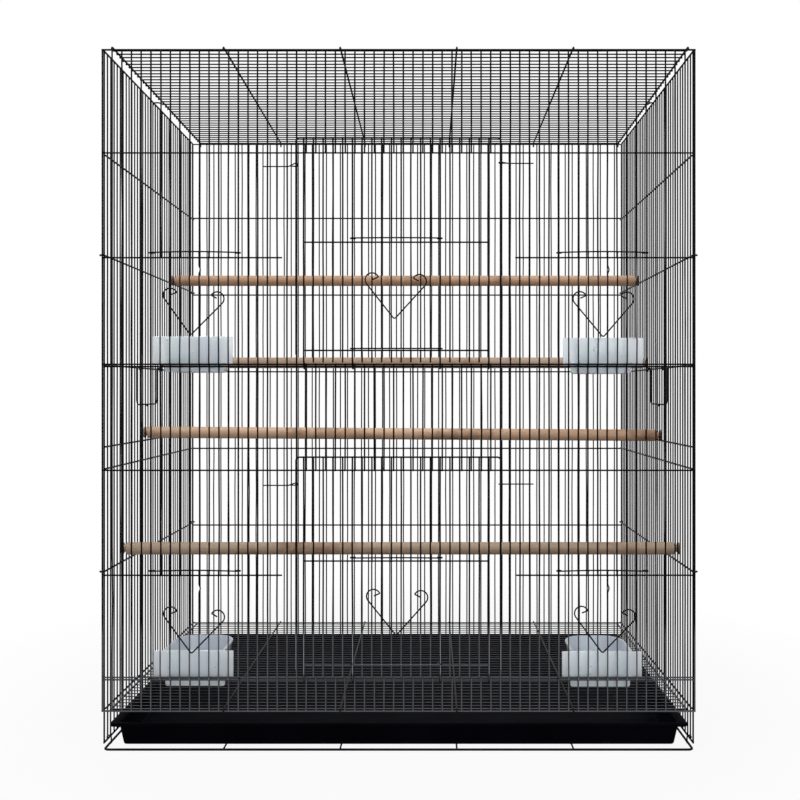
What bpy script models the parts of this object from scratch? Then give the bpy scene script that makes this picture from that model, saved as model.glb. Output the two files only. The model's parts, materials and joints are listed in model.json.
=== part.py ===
"""Black wire flight cage for small birds, in metres, +Z up, standing on z = 0.

X runs left to right, Y from front to back. Every wire is a square-section bar
set on edge, so two crossing layers meet ridge to ridge. Round wire, welds and
coating are a matter of finish; the pieces, joints and clearances are here.
"""

import math

import bmesh
import bpy
from mathutils import Matrix, Vector

# Overall size
CAGE_WIDTH = 0.762
CAGE_HEIGHT = 0.905
PANEL_DEPTH = 0.455

# Wire radii
BAR_RADIUS = 0.0010
POST_RADIUS = 0.00125
RAIL_RADIUS = 0.00135
CROSS_RADIUS = 0.0010
SMALL_WIRE_RADIUS = 0.0009
LATCH_RADIUS = 0.0008

# Spacings and clearances
WIRE_PITCH = 0.0125
LAYER_GAP = 0.0001
SHORT_BAR_SET = 0.00025
HOOK_GAP = 0.00045
SEAT_GAP = 0.0003
WIRE_END = 0.0010
CORNER_SETBACK = 0.0050

# Front panel: heights of the rails
FOOT_RAIL_Z = 0.0510
LOWER_SILL_Z = 0.0905
LOWER_FEEDER_TOP_Z = 0.2251
LOWER_LINTEL_Z = 0.3601
UPPER_SILL_Z = 0.4937
UPPER_FEEDER_TOP_Z = 0.6339
UPPER_LINTEL_Z = 0.7688
SILL_TWIN_RISE = 0.0030
DOOR_GAPS = 21
FEEDER_GAPS = 9
FEEDER_OFFSET = 0.2617
FEEDER_RAIL_REACH = 0.1500

# Big doors
DOOR_PLANE_GAP = 0.0050
DOOR_SHIFT = 0.00275
DOOR_LAP = 0.0175
DOOR_BAR_GAPS = 19
DOOR_CORNER_RADIUS = 0.0045
DOOR_HOOK_RISE = 0.0100
DOOR_BAR_FOOT = 0.0050
DOOR_SIDE_FOOT = 0.0150
HATCH_SILL_RISE = 0.0206
HATCH_TOP_DROP = 0.1158

# Small sliding doors and their handles
SMALL_DOOR_LAP = 0.0060
SMALL_HOOK_RETURN = 0.0040
HEART_RISE = 0.0390
HEART_SPREAD = 0.0350
HEART_HEIGHT = 0.0440
HEART_LOBE_RADIUS = 0.0088
HEART_CURL_RADIUS = 0.0032
HEART_TAIL = 0.0050

# Latches
LATCH_DROP = 0.0170
LATCH_LOOP_LENGTH = 0.0104
LATCH_TAIL_LENGTH = 0.0330

# Side and back panels: heights of the rails
GROUND_RAIL_Z = 0.0086
SIDE_FLOOR_RAIL_Z = 0.0530
SIDE_LOW_HOOK_Z = 0.2304
SIDE_LOW_RAIL_Z = 0.3620
SIDE_PERCH_RAIL_Z = 0.3903
SIDE_MIDDLE_RAIL_Z = 0.4957
SIDE_HIGH_HOOK_Z = 0.6366
SIDE_HIGH_RAIL_Z = 0.7660
BACK_RAIL_PITCH = 0.1360
BACK_TOP_RAIL_Z = 0.7690

# Roof and floor grids
GRID_EDGE_INSET = 0.0085
GRID_CROSS_GAPS = (6, 18)
SIDE_HOOK_RISE_RUN = 0.0040

# Carrying bails on the side panels
BAIL_FIRST_GAP = 11
BAIL_GAPS = 8
BAIL_DROP = 0.0530
BAIL_CORNER = 0.0080
BAIL_KINK = 0.0030
BAIL_RADIUS = 0.0011

# Base frame
BASE_BAR = 0.0040
BASE_HOOK_GAP = 1

# Litter tray
TRAY_SIDE_CLEARANCE = 0.0070
TRAY_END_CLEARANCE = 0.0055
TRAY_RIM_TOP_Z = 0.0330
TRAY_SIDE_OVERHANG = 0.0110
TRAY_SIDE_DRAFT = 0.0050
TRAY_END_OVERHANG = 0.0030
TRAY_END_DRAFT = 0.0015
TRAY_WALL = 0.0020
TRAY_LIP = 0.0045
TRAY_LIP_THICKNESS = 0.0015
TRAY_CORNER_RADIUS = 0.0045

# Feeding cups
CUP_PLATE_WIDTH = 0.1030
CUP_BODY_WIDTH = 0.0800
CUP_HEIGHT = 0.0455
CUP_DROP = 0.0072
CUP_DEPTH = 0.0780
CUP_WALL = 0.0018
CUP_DRAFT = 0.0045
CUP_CORNER_RADIUS = 0.0240
CUP_LUG_WIDTH = 0.0060
CUP_LUG_THICKNESS = 0.0016
CUP_LUG_COLUMN = 3

# Perches
PERCH_RADIUS = 0.0085
PERCH_GROOVE_WIDTH = 0.0052
PERCH_HEAD = 0.0020
PERCH_CHAMFER = 0.0008
PERCH_SIDES = 12
PERCH_HEIGHTS = (0.6438, 0.5070, 0.3990, 0.2458)
PERCH_TILT = 0.35

# Colour, roughness and metallic value of each finish
FINISHES = {
    "powder_coat": ((0.012, 0.012, 0.014, 1.0), 0.38, 0.0),
    "tray_plastic": ((0.006, 0.006, 0.008, 1.0), 0.45, 0.0),
    "cup_plastic": ((0.55, 0.61, 0.68, 1.0), 0.30, 0.0),
    "wood": ((0.50, 0.34, 0.22, 1.0), 0.70, 0.0),
}


def hook_radius(inside, wire):
    """Centre-line radius of a hook of one wire closed loosely round another."""
    return inside + wire + HOOK_GAP


# Places worked out from the sizes above
LAYER = BAR_RADIUS + CROSS_RADIUS + LAYER_GAP
SIDE_X = CAGE_WIDTH / 2 - BAR_RADIUS
SIDE_RAIL_X = SIDE_X - LAYER
FRONT_EDGE_X = SIDE_RAIL_X + hook_radius(POST_RADIUS, CROSS_RADIUS)
FRONT_GAPS = 2 * round((2 * FRONT_EDGE_X / WIRE_PITCH - 1) / 2) + 1
PITCH = 2 * FRONT_EDGE_X / FRONT_GAPS
SIDE_GAPS = 2 * round((PANEL_DEPTH - 2 * CORNER_SETBACK) / WIRE_PITCH / 2)
SIDE_PITCH = (PANEL_DEPTH - 2 * CORNER_SETBACK) / SIDE_GAPS
FEEDER_COLUMN = round(FEEDER_OFFSET / PITCH)
TOP_RAIL_Z = CAGE_HEIGHT - 2 * POST_RADIUS - HOOK_GAP - RAIL_RADIUS
BACK_FLOOR_RAIL_Z = FOOT_RAIL_Z + RAIL_RADIUS - CROSS_RADIUS
SMALL_DOOR_GAP = hook_radius(POST_RADIUS, SMALL_WIRE_RADIUS)
HEART_GAP = 2 * SMALL_WIRE_RADIUS + SEAT_GAP
FRONT_REACH = DOOR_PLANE_GAP + SMALL_DOOR_GAP + HEART_GAP + SMALL_WIRE_RADIUS
BACK_REACH = hook_radius(RAIL_RADIUS, CROSS_RADIUS) + CROSS_RADIUS
FRONT_Y = (FRONT_REACH - BACK_REACH - PANEL_DEPTH) / 2
BACK_Y = FRONT_Y + PANEL_DEPTH
DOOR_Y = FRONT_Y - DOOR_PLANE_GAP
HINGE_Y = FRONT_Y + LAYER
TRAY_RIM_WIDTH = CAGE_WIDTH - 2 * TRAY_SIDE_CLEARANCE
TRAY_RIM_DEPTH = PANEL_DEPTH - 2 * TRAY_END_CLEARANCE
ALONG_X = Vector((1, 0, 0))
ALONG_Y = Vector((0, 1, 0))
ALONG_Z = Vector((0, 0, 1))


# Meshes of wire

def add_wire(bm, points, radius, ridge):
    """Add one bent wire of square section, with a ridge towards `ridge`."""
    points = [Vector(p) for p in points]
    ahead = (points[1] - points[0]).normalized()
    up = (ridge - ahead * ahead.dot(ridge)).normalized()
    across = ahead.cross(up)
    ring = [points[0] + radius * v for v in (up, across, -up, -across)]
    rings = [ring]
    for i in range(1, len(points)):
        back = (points[i] - points[i - 1]).normalized()
        forth = (points[i + 1] - points[i]).normalized() if i + 1 < len(points) else back
        mitre = (back + forth).normalized()
        ring = [p + back * ((points[i] - p).dot(mitre) / back.dot(mitre)) for p in ring]
        rings.append(ring)
    loops = [[bm.verts.new(p) for p in ring] for ring in rings]
    bm.faces.new(reversed(loops[0]))
    bm.faces.new(loops[-1])
    for near, far in zip(loops, loops[1:]):
        for k in range(4):
            n = (k + 1) % 4
            bm.faces.new((near[k], near[n], far[n], far[k]))


def wires(name, runs):
    """Mesh of several wires that don't touch; a run is (points, radius, ridge)."""
    bm = bmesh.new()
    for points, radius, ridge in runs:
        add_wire(bm, points, radius, ridge)
    return mesh_of(name, bm)


def mesh_of(name, bm):
    mesh = bpy.data.meshes.new(name)
    bm.to_mesh(mesh)
    bm.free()
    return mesh


def arc(radius, start, stop, steps):
    """Pairs along a circle about the origin, between two angles in degrees."""
    turns = [math.radians(start + (stop - start) * i / steps) for i in range(steps + 1)]
    return [(radius * math.cos(t), radius * math.sin(t)) for t in turns]


def fillet(corner, before, after, radius, steps):
    """Points of a round corner between two straight runs, in any plane."""
    corner, before, after = Vector(corner), Vector(before), Vector(after)
    inward = (before - corner).normalized()
    outward = (after - corner).normalized()
    half = inward.angle(outward) / 2
    middle = corner + (inward + outward).normalized() * radius / math.sin(half)
    first = corner + inward * radius / math.tan(half) - middle
    last = corner + outward * radius / math.tan(half) - middle
    return [middle + radius * first.slerp(last, i / steps) for i in range(steps + 1)]


# Objects

def place(name, meshes, finish, origin=(0, 0, 0), parent=None):
    """Object of the union of the meshes, with its origin on its joint's axis."""
    origin = Vector(origin)
    for mesh in meshes:
        mesh.transform(Matrix.Translation(-origin))
    piece = bpy.data.objects.new(name, meshes[0])
    bpy.context.collection.objects.link(piece)
    piece.location = origin
    if parent:
        piece.parent = parent
        piece.location = origin - parent.location
    for mesh in meshes[1:]:
        tool = bpy.data.objects.new(mesh.name, mesh)
        bpy.context.collection.objects.link(tool)
        tool.parent = piece
        tool.hide_render = True
        tool.display_type = "WIRE"
        join = piece.modifiers.new(mesh.name, "BOOLEAN")
        join.operation = "UNION"
        join.solver = "EXACT"
        join.object = tool
    piece.data.materials.append(material(name, finish))
    return piece


def material(name, finish):
    colour, roughness, metallic = FINISHES[finish]
    coat = bpy.data.materials.new(f"{name}_{finish}")
    coat.use_nodes = True
    shader = coat.node_tree.nodes["Principled BSDF"]
    shader.inputs["Base Color"].default_value = colour
    shader.inputs["Roughness"].default_value = roughness
    shader.inputs["Metallic"].default_value = metallic
    coat.diffuse_color = colour
    return coat


def round_off(piece):
    """Smooth shading with the real edges kept sharp."""
    piece.data.shade_smooth()
    piece.data.set_sharp_from_angle(angle=math.radians(40))


# Front panel

def columns():
    """The front panel's uprights, as distances from the middle in pitches."""
    half = (FRONT_GAPS + 1) // 2
    return [k + 0.5 for k in range(-half, half)]


def is_post(column):
    edge = abs(column)
    guides = (FEEDER_COLUMN - FEEDER_GAPS / 2, FEEDER_COLUMN + FEEDER_GAPS / 2)
    return edge in (FRONT_GAPS / 2, DOOR_GAPS / 2) + guides


def front_uprights():
    """Uprights: posts and through bars, and bars cut short by an opening."""
    runs = []
    top = SILL_TWIN_RISE + WIRE_END
    for column in columns():
        x = column * PITCH
        spans = [(FOOT_RAIL_Z, TOP_RAIL_Z)]
        if abs(column) < DOOR_GAPS / 2:
            spans = [
                (FOOT_RAIL_Z, LOWER_SILL_Z + top),
                (LOWER_LINTEL_Z - WIRE_END, UPPER_SILL_Z + top),
                (UPPER_LINTEL_Z - WIRE_END, TOP_RAIL_Z),
            ]
        elif abs(abs(column) - FEEDER_COLUMN) < FEEDER_GAPS / 2:
            spans = [
                (FOOT_RAIL_Z, LOWER_SILL_Z + top),
                (LOWER_FEEDER_TOP_Z - WIRE_END, UPPER_SILL_Z + top),
                (UPPER_FEEDER_TOP_Z - WIRE_END, TOP_RAIL_Z),
            ]
        y = FRONT_Y + (SHORT_BAR_SET if len(spans) > 1 else 0)
        radius = POST_RADIUS if is_post(column) else BAR_RADIUS
        for low, high in spans:
            runs.append((((x, y, low), (x, y, high)), radius, ALONG_Y))
    return runs


def level_wire(left, right, y, z, radius):
    return (((left, y, z), (right, y, z)), radius, ALONG_Y)


def front_rails():
    """The end rails lie among the uprights, the others behind them."""
    end = FRONT_EDGE_X + POST_RADIUS + LAYER_GAP
    reach = FRONT_EDGE_X + WIRE_END
    runs = [level_wire(-end, end, FRONT_Y, z, RAIL_RADIUS) for z in (FOOT_RAIL_Z, TOP_RAIL_Z)]
    levels = [LOWER_LINTEL_Z, UPPER_LINTEL_Z]
    for sill in (LOWER_SILL_Z, UPPER_SILL_Z):
        levels += [sill, sill + SILL_TWIN_RISE]
    for z in levels:
        runs.append(level_wire(-reach, reach, HINGE_Y, z, CROSS_RADIUS))
    for z in (LOWER_FEEDER_TOP_Z, UPPER_FEEDER_TOP_Z):
        runs.append(level_wire(-reach, -FEEDER_RAIL_REACH, HINGE_Y, z, CROSS_RADIUS))
        runs.append(level_wire(FEEDER_RAIL_REACH, reach, HINGE_Y, z, CROSS_RADIUS))
    return runs


def make_front_panel():
    uprights = wires("front_uprights", front_uprights())
    rails = wires("front_rails", front_rails())
    place("front_panel", [uprights, rails], "powder_coat")


# Back panel

def make_back_panel():
    middle_posts = (-DOOR_GAPS / 2, DOOR_GAPS / 2, -FRONT_GAPS / 2, FRONT_GAPS / 2)
    uprights = []
    for column in columns():
        x = column * PITCH
        radius = POST_RADIUS if column in middle_posts else BAR_RADIUS
        run = ((x, BACK_Y, GROUND_RAIL_Z), (x, BACK_Y, TOP_RAIL_Z))
        uprights.append((run, radius, ALONG_Y))
    end = FRONT_EDGE_X + POST_RADIUS + LAYER_GAP
    reach = FRONT_EDGE_X + WIRE_END
    ends = (GROUND_RAIL_Z, TOP_RAIL_Z)
    rails = [level_wire(-end, end, BACK_Y, z, RAIL_RADIUS) for z in ends]
    count = int((BACK_TOP_RAIL_Z - BACK_FLOOR_RAIL_Z) / BACK_RAIL_PITCH)
    heights = [BACK_TOP_RAIL_Z - i * BACK_RAIL_PITCH for i in range(count)]
    for z in heights + [BACK_FLOOR_RAIL_Z]:
        rails.append(level_wire(-reach, reach, BACK_Y - LAYER, z, CROSS_RADIUS))
    meshes = [wires("back_uprights", uprights), wires("back_rails", rails)]
    place("back_panel", meshes, "powder_coat")


# Side panels

def side_bar_y(index):
    return FRONT_Y + CORNER_SETBACK + index * SIDE_PITCH


def corner_hook(side, y, facing):
    """Half turn of a side rail round the edge post of the front or back panel.

    facing is -1 at the front and 1 at the back.
    """
    radius = hook_radius(POST_RADIUS, CROSS_RADIUS)
    turn = arc(radius, 180, 0, 4)
    tip = [(radius, -radius / 2)]
    return [(side * (FRONT_EDGE_X + a), y + facing * b) for a, b in turn + tip]


def side_rail(side, z, hooked):
    x = side * SIDE_RAIL_X
    if not hooked:
        front, back = side_bar_y(0) - WIRE_END, side_bar_y(SIDE_GAPS) + WIRE_END
        return [(x, front, z), (x, back, z)]
    front = [(px, py, z) for px, py in reversed(corner_hook(side, FRONT_Y, -1))]
    back = [(px, py, z) for px, py in corner_hook(side, BACK_Y, 1)]
    return front + back


def make_side_panel(name, side):
    posts = (0, SIDE_GAPS // 2, SIDE_GAPS)
    x = side * SIDE_X
    uprights = []
    for index in range(SIDE_GAPS + 1):
        y = side_bar_y(index)
        radius = POST_RADIUS if index in posts else BAR_RADIUS
        uprights.append((((x, y, GROUND_RAIL_Z), (x, y, TOP_RAIL_Z)), radius, ALONG_X))
    end = POST_RADIUS + LAYER_GAP
    front, back = side_bar_y(0) - end, side_bar_y(SIDE_GAPS) + end
    rails = []
    for z in (GROUND_RAIL_Z, TOP_RAIL_Z):
        rails.append((((x, front, z), (x, back, z)), RAIL_RADIUS, ALONG_X))
    plain = (
        SIDE_FLOOR_RAIL_Z, SIDE_LOW_RAIL_Z, SIDE_PERCH_RAIL_Z,
        SIDE_MIDDLE_RAIL_Z, SIDE_HIGH_RAIL_Z,
    )
    for z in plain:
        rails.append((side_rail(side, z, False), CROSS_RADIUS, ALONG_X))
    for z in (SIDE_LOW_HOOK_Z, SIDE_HIGH_HOOK_Z):
        rails.append((side_rail(side, z, True), CROSS_RADIUS, ALONG_Z))
    meshes = [wires(f"{name}_uprights", uprights), wires(f"{name}_rails", rails)]
    place(name, meshes, "powder_coat")


# Roof and floor grids

def over_hook(rail_radius, rail_y, rail_z, facing):
    """End of a cross wire, down over a rail: points from the tip inwards."""
    radius = hook_radius(rail_radius, CROSS_RADIUS)
    turn = [(radius, -radius / 2)] + arc(radius, 0, 90, 2)
    return [(rail_y + facing * a, rail_z + b) for a, b in turn]


def grid_cross_wires(front_rail, back_rail):
    """Front-to-back wires above the bars; a rail is (radius, y, z)."""
    front = over_hook(*front_rail, -1)
    back = over_hook(*back_rail, 1)
    places = [s * gaps * PITCH for gaps in GRID_CROSS_GAPS for s in (-1, 1)]
    runs = []
    for x in places:
        points = [(x, y, z) for y, z in front + back[::-1]]
        runs.append((points, CROSS_RADIUS, ALONG_X))
    return runs


def grid_bars(z, hooked):
    """Left-to-right bars; the middle one of the roof hooks over the sides."""
    edge = SIDE_X - GRID_EDGE_INSET
    posts = (0, SIDE_GAPS // 2, SIDE_GAPS)
    runs = []
    for index in range(SIDE_GAPS + 1):
        y = side_bar_y(index)
        half = [(edge, z)]
        if index in posts:
            half = [(edge + WIRE_END, z)]
        if hooked and index == SIDE_GAPS // 2:
            radius = hook_radius(RAIL_RADIUS, POST_RADIUS)
            over = [(SIDE_X + a, TOP_RAIL_Z + b) for a, b in arc(radius, 90, 0, 2)]
            tip = [(SIDE_X + radius, TOP_RAIL_Z - radius / 2)]
            rise = [(edge + RAIL_RADIUS, z), (edge + RAIL_RADIUS + SIDE_HOOK_RISE_RUN, over[0][1])]
            half = rise + over + tip
        left = [(-x, y, h) for x, h in reversed(half)]
        right = [(x, y, h) for x, h in half]
        radius = POST_RADIUS if index in posts else BAR_RADIUS
        runs.append((left + right, radius, ALONG_Y))
    return runs


def grid_edges(z):
    edge = SIDE_X - GRID_EDGE_INSET
    end = POST_RADIUS + LAYER_GAP
    front, back = side_bar_y(0) - end, side_bar_y(SIDE_GAPS) + end
    return [(((s * edge, front, z), (s * edge, back, z)), RAIL_RADIUS, ALONG_Z) for s in (-1, 1)]


def make_grid(name, front_rail, back_rail, hooked):
    cross_z = front_rail[2] + hook_radius(front_rail[0], CROSS_RADIUS)
    bar_z = cross_z - LAYER
    bars = wires(f"{name}_bars", grid_bars(bar_z, hooked))
    edges = wires(f"{name}_edges", grid_edges(bar_z))
    cross = wires(f"{name}_cross_wires", grid_cross_wires(front_rail, back_rail))
    place(name, [bars, edges, cross], "powder_coat")


# Base frame

def make_base_frame():
    outer_x, outer_y = SIDE_X, (FRONT_Y - BASE_BAR / 2, BACK_Y + BASE_BAR / 2)
    bm = bmesh.new()
    rings = []
    for z in (0, BASE_BAR):
        for inset in (0, BASE_BAR):
            corners = [
                (-outer_x + inset, outer_y[0] + inset), (outer_x - inset, outer_y[0] + inset),
                (outer_x - inset, outer_y[1] - inset), (-outer_x + inset, outer_y[1] - inset),
            ]
            rings.append([bm.verts.new((x, y, z)) for x, y in corners])
    low_out, low_in, high_out, high_in = rings
    for a, b in ((low_out, high_out), (high_out, high_in), (high_in, low_in), (low_in, low_out)):
        for k in range(4):
            n = (k + 1) % 4
            bm.faces.new((a[k], a[n], b[n], b[k]))
    frame = mesh_of("base_bars", bm)
    cross = []
    for gaps in GRID_CROSS_GAPS:
        for s in (-1, 1):
            x, z = s * gaps * PITCH, BASE_BAR - POST_RADIUS
            points = ((x, outer_y[0] + BASE_BAR / 2, z), (x, outer_y[1] - BASE_BAR / 2, z))
            cross.append((points, POST_RADIUS, ALONG_Z))
    cross_mesh = wires("base_cross_wires", cross)
    radius = hook_radius(RAIL_RADIUS, SMALL_WIRE_RADIUS)
    hooks = []
    for side in (-1, 1):
        for gap in (BASE_HOOK_GAP, SIDE_GAPS - 1 - BASE_HOOK_GAP):
            y = side_bar_y(gap + 0.5)
            turn = arc(radius, 180, -20, 5)
            over = [(side * (SIDE_X + a), y, GROUND_RAIL_Z + b) for a, b in turn]
            foot = (side * (SIDE_X - radius), y, BASE_BAR / 2)
            hooks.append(([foot] + over, SMALL_WIRE_RADIUS, ALONG_Y))
    place("base_frame", [frame, cross_mesh, wires("base_hooks", hooks)], "powder_coat")


# Litter tray

def rounded_rectangle(half_x, low_y, high_y, radius, steps):
    """Counter-clockwise outline with round corners."""
    outline = []
    corners = (
        (half_x - radius, high_y - radius, 0), (-half_x + radius, high_y - radius, 90),
        (-half_x + radius, low_y + radius, 180), (half_x - radius, low_y + radius, 270),
    )
    for x, y, start in corners:
        outline += [(x + a, y + b) for a, b in arc(radius, start, start + 90, steps)]
    return outline


def lathe_of_outlines(name, levels):
    """Closed shell through outlines of equal length; a level is (outline, z)."""
    bm = bmesh.new()
    rings = [[bm.verts.new((x, y, z)) for x, y in outline] for outline, z in levels]
    count = len(rings[0])
    for low, high in zip(rings, rings[1:]):
        for k in range(count):
            n = (k + 1) % count
            bm.faces.new((low[k], low[n], high[n], high[k]))
    bm.faces.new(reversed(rings[0]))
    bm.faces.new(rings[-1])
    return mesh_of(name, bm)


def make_litter_tray():
    middle_y = (FRONT_Y + BACK_Y) / 2
    bottom_z = BASE_BAR + SEAT_GAP
    lip, wall = TRAY_LIP_THICKNESS, TRAY_WALL
    side, end = TRAY_SIDE_OVERHANG, TRAY_END_OVERHANG
    low_side, low_end = side + TRAY_SIDE_DRAFT, end + TRAY_END_DRAFT

    def outline(inset_x, inset_y):
        half_y = TRAY_RIM_DEPTH / 2 - inset_y
        return rounded_rectangle(
            TRAY_RIM_WIDTH / 2 - inset_x, middle_y - half_y, middle_y + half_y,
            TRAY_CORNER_RADIUS, 3)

    levels = [
        (outline(low_side, low_end), bottom_z),
        (outline(side, end), TRAY_RIM_TOP_Z - wall),
        (outline(lip, lip), TRAY_RIM_TOP_Z - wall),
        (outline(lip, lip), TRAY_RIM_TOP_Z - TRAY_LIP),
        (outline(0, 0), TRAY_RIM_TOP_Z - TRAY_LIP),
        (outline(0, 0), TRAY_RIM_TOP_Z),
        (outline(side + wall, end + wall), TRAY_RIM_TOP_Z),
        (outline(low_side + wall, low_end + wall), bottom_z + wall),
    ]
    tray = place("litter_tray", [lathe_of_outlines("tray", levels)], "tray_plastic",
                 origin=(0, middle_y, bottom_z))
    round_off(tray)


# Big doors

def door_bar_columns():
    """Columns of a door's bars, all set a little to the left of the panel's."""
    return [k - DOOR_BAR_GAPS / 2 for k in range(DOOR_BAR_GAPS + 1)]


def door_x(column):
    return column * PITCH - DOOR_SHIFT


def hinge_z(sill):
    return sill + SILL_TWIN_RISE / 2


def hinge_hook(x, sill):
    """Curl of a door wire round both sill rails: points from its tip upwards."""
    radius = hook_radius(SILL_TWIN_RISE / 2 + CROSS_RADIUS, POST_RADIUS)
    turn = [(x, HINGE_Y + a, hinge_z(sill) + b) for a, b in arc(radius, 415, 190, 5)]
    return turn + [(x, DOOR_Y, sill + DOOR_HOOK_RISE)]


def door_frame_run(sill, top):
    """One wire: up a side before the post, along the top, down the other side."""
    side = DOOR_GAPS / 2 * PITCH
    left, right = (-side, DOOR_Y, top), (side, DOOR_Y, top)
    low_left, low_right = [(x, DOOR_Y, sill + DOOR_SIDE_FOOT) for x in (-side, side)]
    points = [low_left]
    points += fillet(left, low_left, right, DOOR_CORNER_RADIUS, 3)
    points += fillet(right, left, low_right, DOOR_CORNER_RADIUS, 3)
    return points + [low_right]


def make_big_door(name, sill, lintel):
    top = lintel + DOOR_LAP
    hatch_sill, hatch_top = hatch_heights(sill, lintel)
    low = sill + DOOR_BAR_FOOT
    bars = []
    for column in door_bar_columns():
        x = door_x(column)
        if abs(column) in (FEEDER_GAPS / 2, DOOR_BAR_GAPS / 2):
            bars.append((hinge_hook(x, sill) + [(x, DOOR_Y, top)], POST_RADIUS, ALONG_Y))
        elif abs(column) > FEEDER_GAPS / 2:
            bars.append((((x, DOOR_Y, low), (x, DOOR_Y, top)), BAR_RADIUS, ALONG_Y))
        else:
            y = DOOR_Y + SHORT_BAR_SET
            bars.append((((x, y, low), (x, y, hatch_sill + WIRE_END)), BAR_RADIUS, ALONG_Y))
            bars.append((((x, y, hatch_top - WIRE_END), (x, y, top)), BAR_RADIUS, ALONG_Y))
    left, right = door_x(-DOOR_BAR_GAPS / 2), door_x(DOOR_BAR_GAPS / 2)
    frame = [(door_frame_run(sill, top), POST_RADIUS, ALONG_Y)]
    for z in (hatch_sill, hatch_top):
        frame.append(level_wire(left - WIRE_END, right + WIRE_END, DOOR_Y + LAYER, z, CROSS_RADIUS))
    meshes = [wires(f"{name}_bars", bars), wires(f"{name}_frame", frame)]
    return place(name, meshes, "powder_coat", origin=(0, HINGE_Y, hinge_z(sill)))


def hatch_heights(sill, lintel):
    return sill + HATCH_SILL_RISE, lintel - HATCH_TOP_DROP


# Small sliding doors

def guide_hook(x, side, plane_y):
    """End of a small door's rail, round its guide and back behind it."""
    radius = SMALL_DOOR_GAP
    turn = [(x + side * a, plane_y + b) for a, b in arc(radius, -90, 90, 4)]
    return turn + [(x - side * SMALL_HOOK_RETURN, plane_y + radius)]


def guide_elbow(x, side, plane_y):
    """Short end of a rail that has the sill rails behind it."""
    return [(x + side * a, plane_y + b) for a, b in arc(SMALL_DOOR_GAP, -90, -20, 2)]


def make_small_door(name, centre, low, lintel, plane_y, low_end, parent=None):
    """Door of upright wires between two rails that turn round the guides.

    low_end is the function for the ends of the bottom rail.
    """
    half, high = FEEDER_GAPS / 2 * PITCH, lintel + SMALL_DOOR_LAP
    y = plane_y - SMALL_DOOR_GAP
    uprights = []
    for k in range(1, FEEDER_GAPS):
        x = centre - half + k * PITCH
        uprights.append((((x, y, low), (x, y, high)), SMALL_WIRE_RADIUS, ALONG_Y))
    rails = []
    for z, turn in ((low, low_end), (high, guide_hook)):
        left = [(px, py, z) for px, py in reversed(turn(centre - half, -1, plane_y))]
        right = [(px, py, z) for px, py in turn(centre + half, 1, plane_y)]
        rails.append((left + right, BAR_RADIUS, ALONG_Z))
    meshes = [wires(f"{name}_uprights", uprights), wires(f"{name}_rails", rails)]
    return place(name, meshes, "powder_coat", origin=(centre, y, low), parent=parent)


def heart_half():
    """Right half of a handle in its own plane, from the point up to the curl."""
    slope = math.atan2(HEART_HEIGHT, HEART_SPREAD)
    start = Vector((HEART_SPREAD, HEART_HEIGHT))
    left = Vector((-math.sin(slope), math.cos(slope)))
    heading = math.degrees(slope)
    centre = start + left * HEART_LOBE_RADIUS
    first = heading - 90
    lobe = [centre + Vector(p) for p in arc(HEART_LOBE_RADIUS, first, first + 200, 6)]
    end = first + 200
    spoke = Vector((math.cos(math.radians(end)), math.sin(math.radians(end))))
    inner = lobe[-1] - spoke * HEART_CURL_RADIUS
    curl = [inner + Vector(p) for p in arc(HEART_CURL_RADIUS, end, end + 120, 3)]
    last = math.radians(end + 120 + 90)
    tail = curl[-1] + Vector((math.cos(last), math.sin(last))) * HEART_TAIL
    return lobe + curl[1:] + [tail]


def make_heart(name, centre, plane_y, door):
    low = door.matrix_basis.translation.z + (door.parent.location.z if door.parent else 0)
    y = plane_y - SMALL_DOOR_GAP - HEART_GAP
    z = low + HEART_RISE
    right = [(centre + p.x, y, z + p.y) for p in heart_half()]
    left = [(centre - p.x, y, z + p.y) for p in heart_half()]
    run = (left[::-1] + [(centre, y, z)] + right, SMALL_WIRE_RADIUS, ALONG_Y)
    place(name, [wires(name, [run])], "powder_coat", origin=(centre, y, z))
    heart = bpy.data.objects[name]
    heart.parent = door
    heart.location = (0, -HEART_GAP, HEART_RISE)


# Latches

def make_latch(name, side, lintel, door):
    """Loop round a door's side wire, with a tail across the panel's bars."""
    x, z = side * DOOR_GAPS / 2 * PITCH, lintel - LATCH_DROP
    radius = hook_radius(POST_RADIUS, LATCH_RADIUS)
    tail_y = FRONT_Y - POST_RADIUS - SEAT_GAP - LATCH_RADIUS
    rise = tail_y - DOOR_Y
    run = math.sqrt(LATCH_LOOP_LENGTH ** 2 - rise ** 2)
    towards = math.degrees(math.atan2(rise, run))
    spread = math.degrees(math.acos(radius / LATCH_LOOP_LENGTH))
    turn = arc(radius, towards - spread, towards + spread - 360, 6)
    outline = [(run + LATCH_TAIL_LENGTH, rise), (run, rise)] + turn
    points = [(x + side * a, DOOR_Y + b, z) for a, b in outline]
    mesh = wires(name, [(points, LATCH_RADIUS, ALONG_Z)])
    place(name, [mesh], "powder_coat", origin=(x, DOOR_Y, z), parent=door)


# Carrying bails

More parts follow.
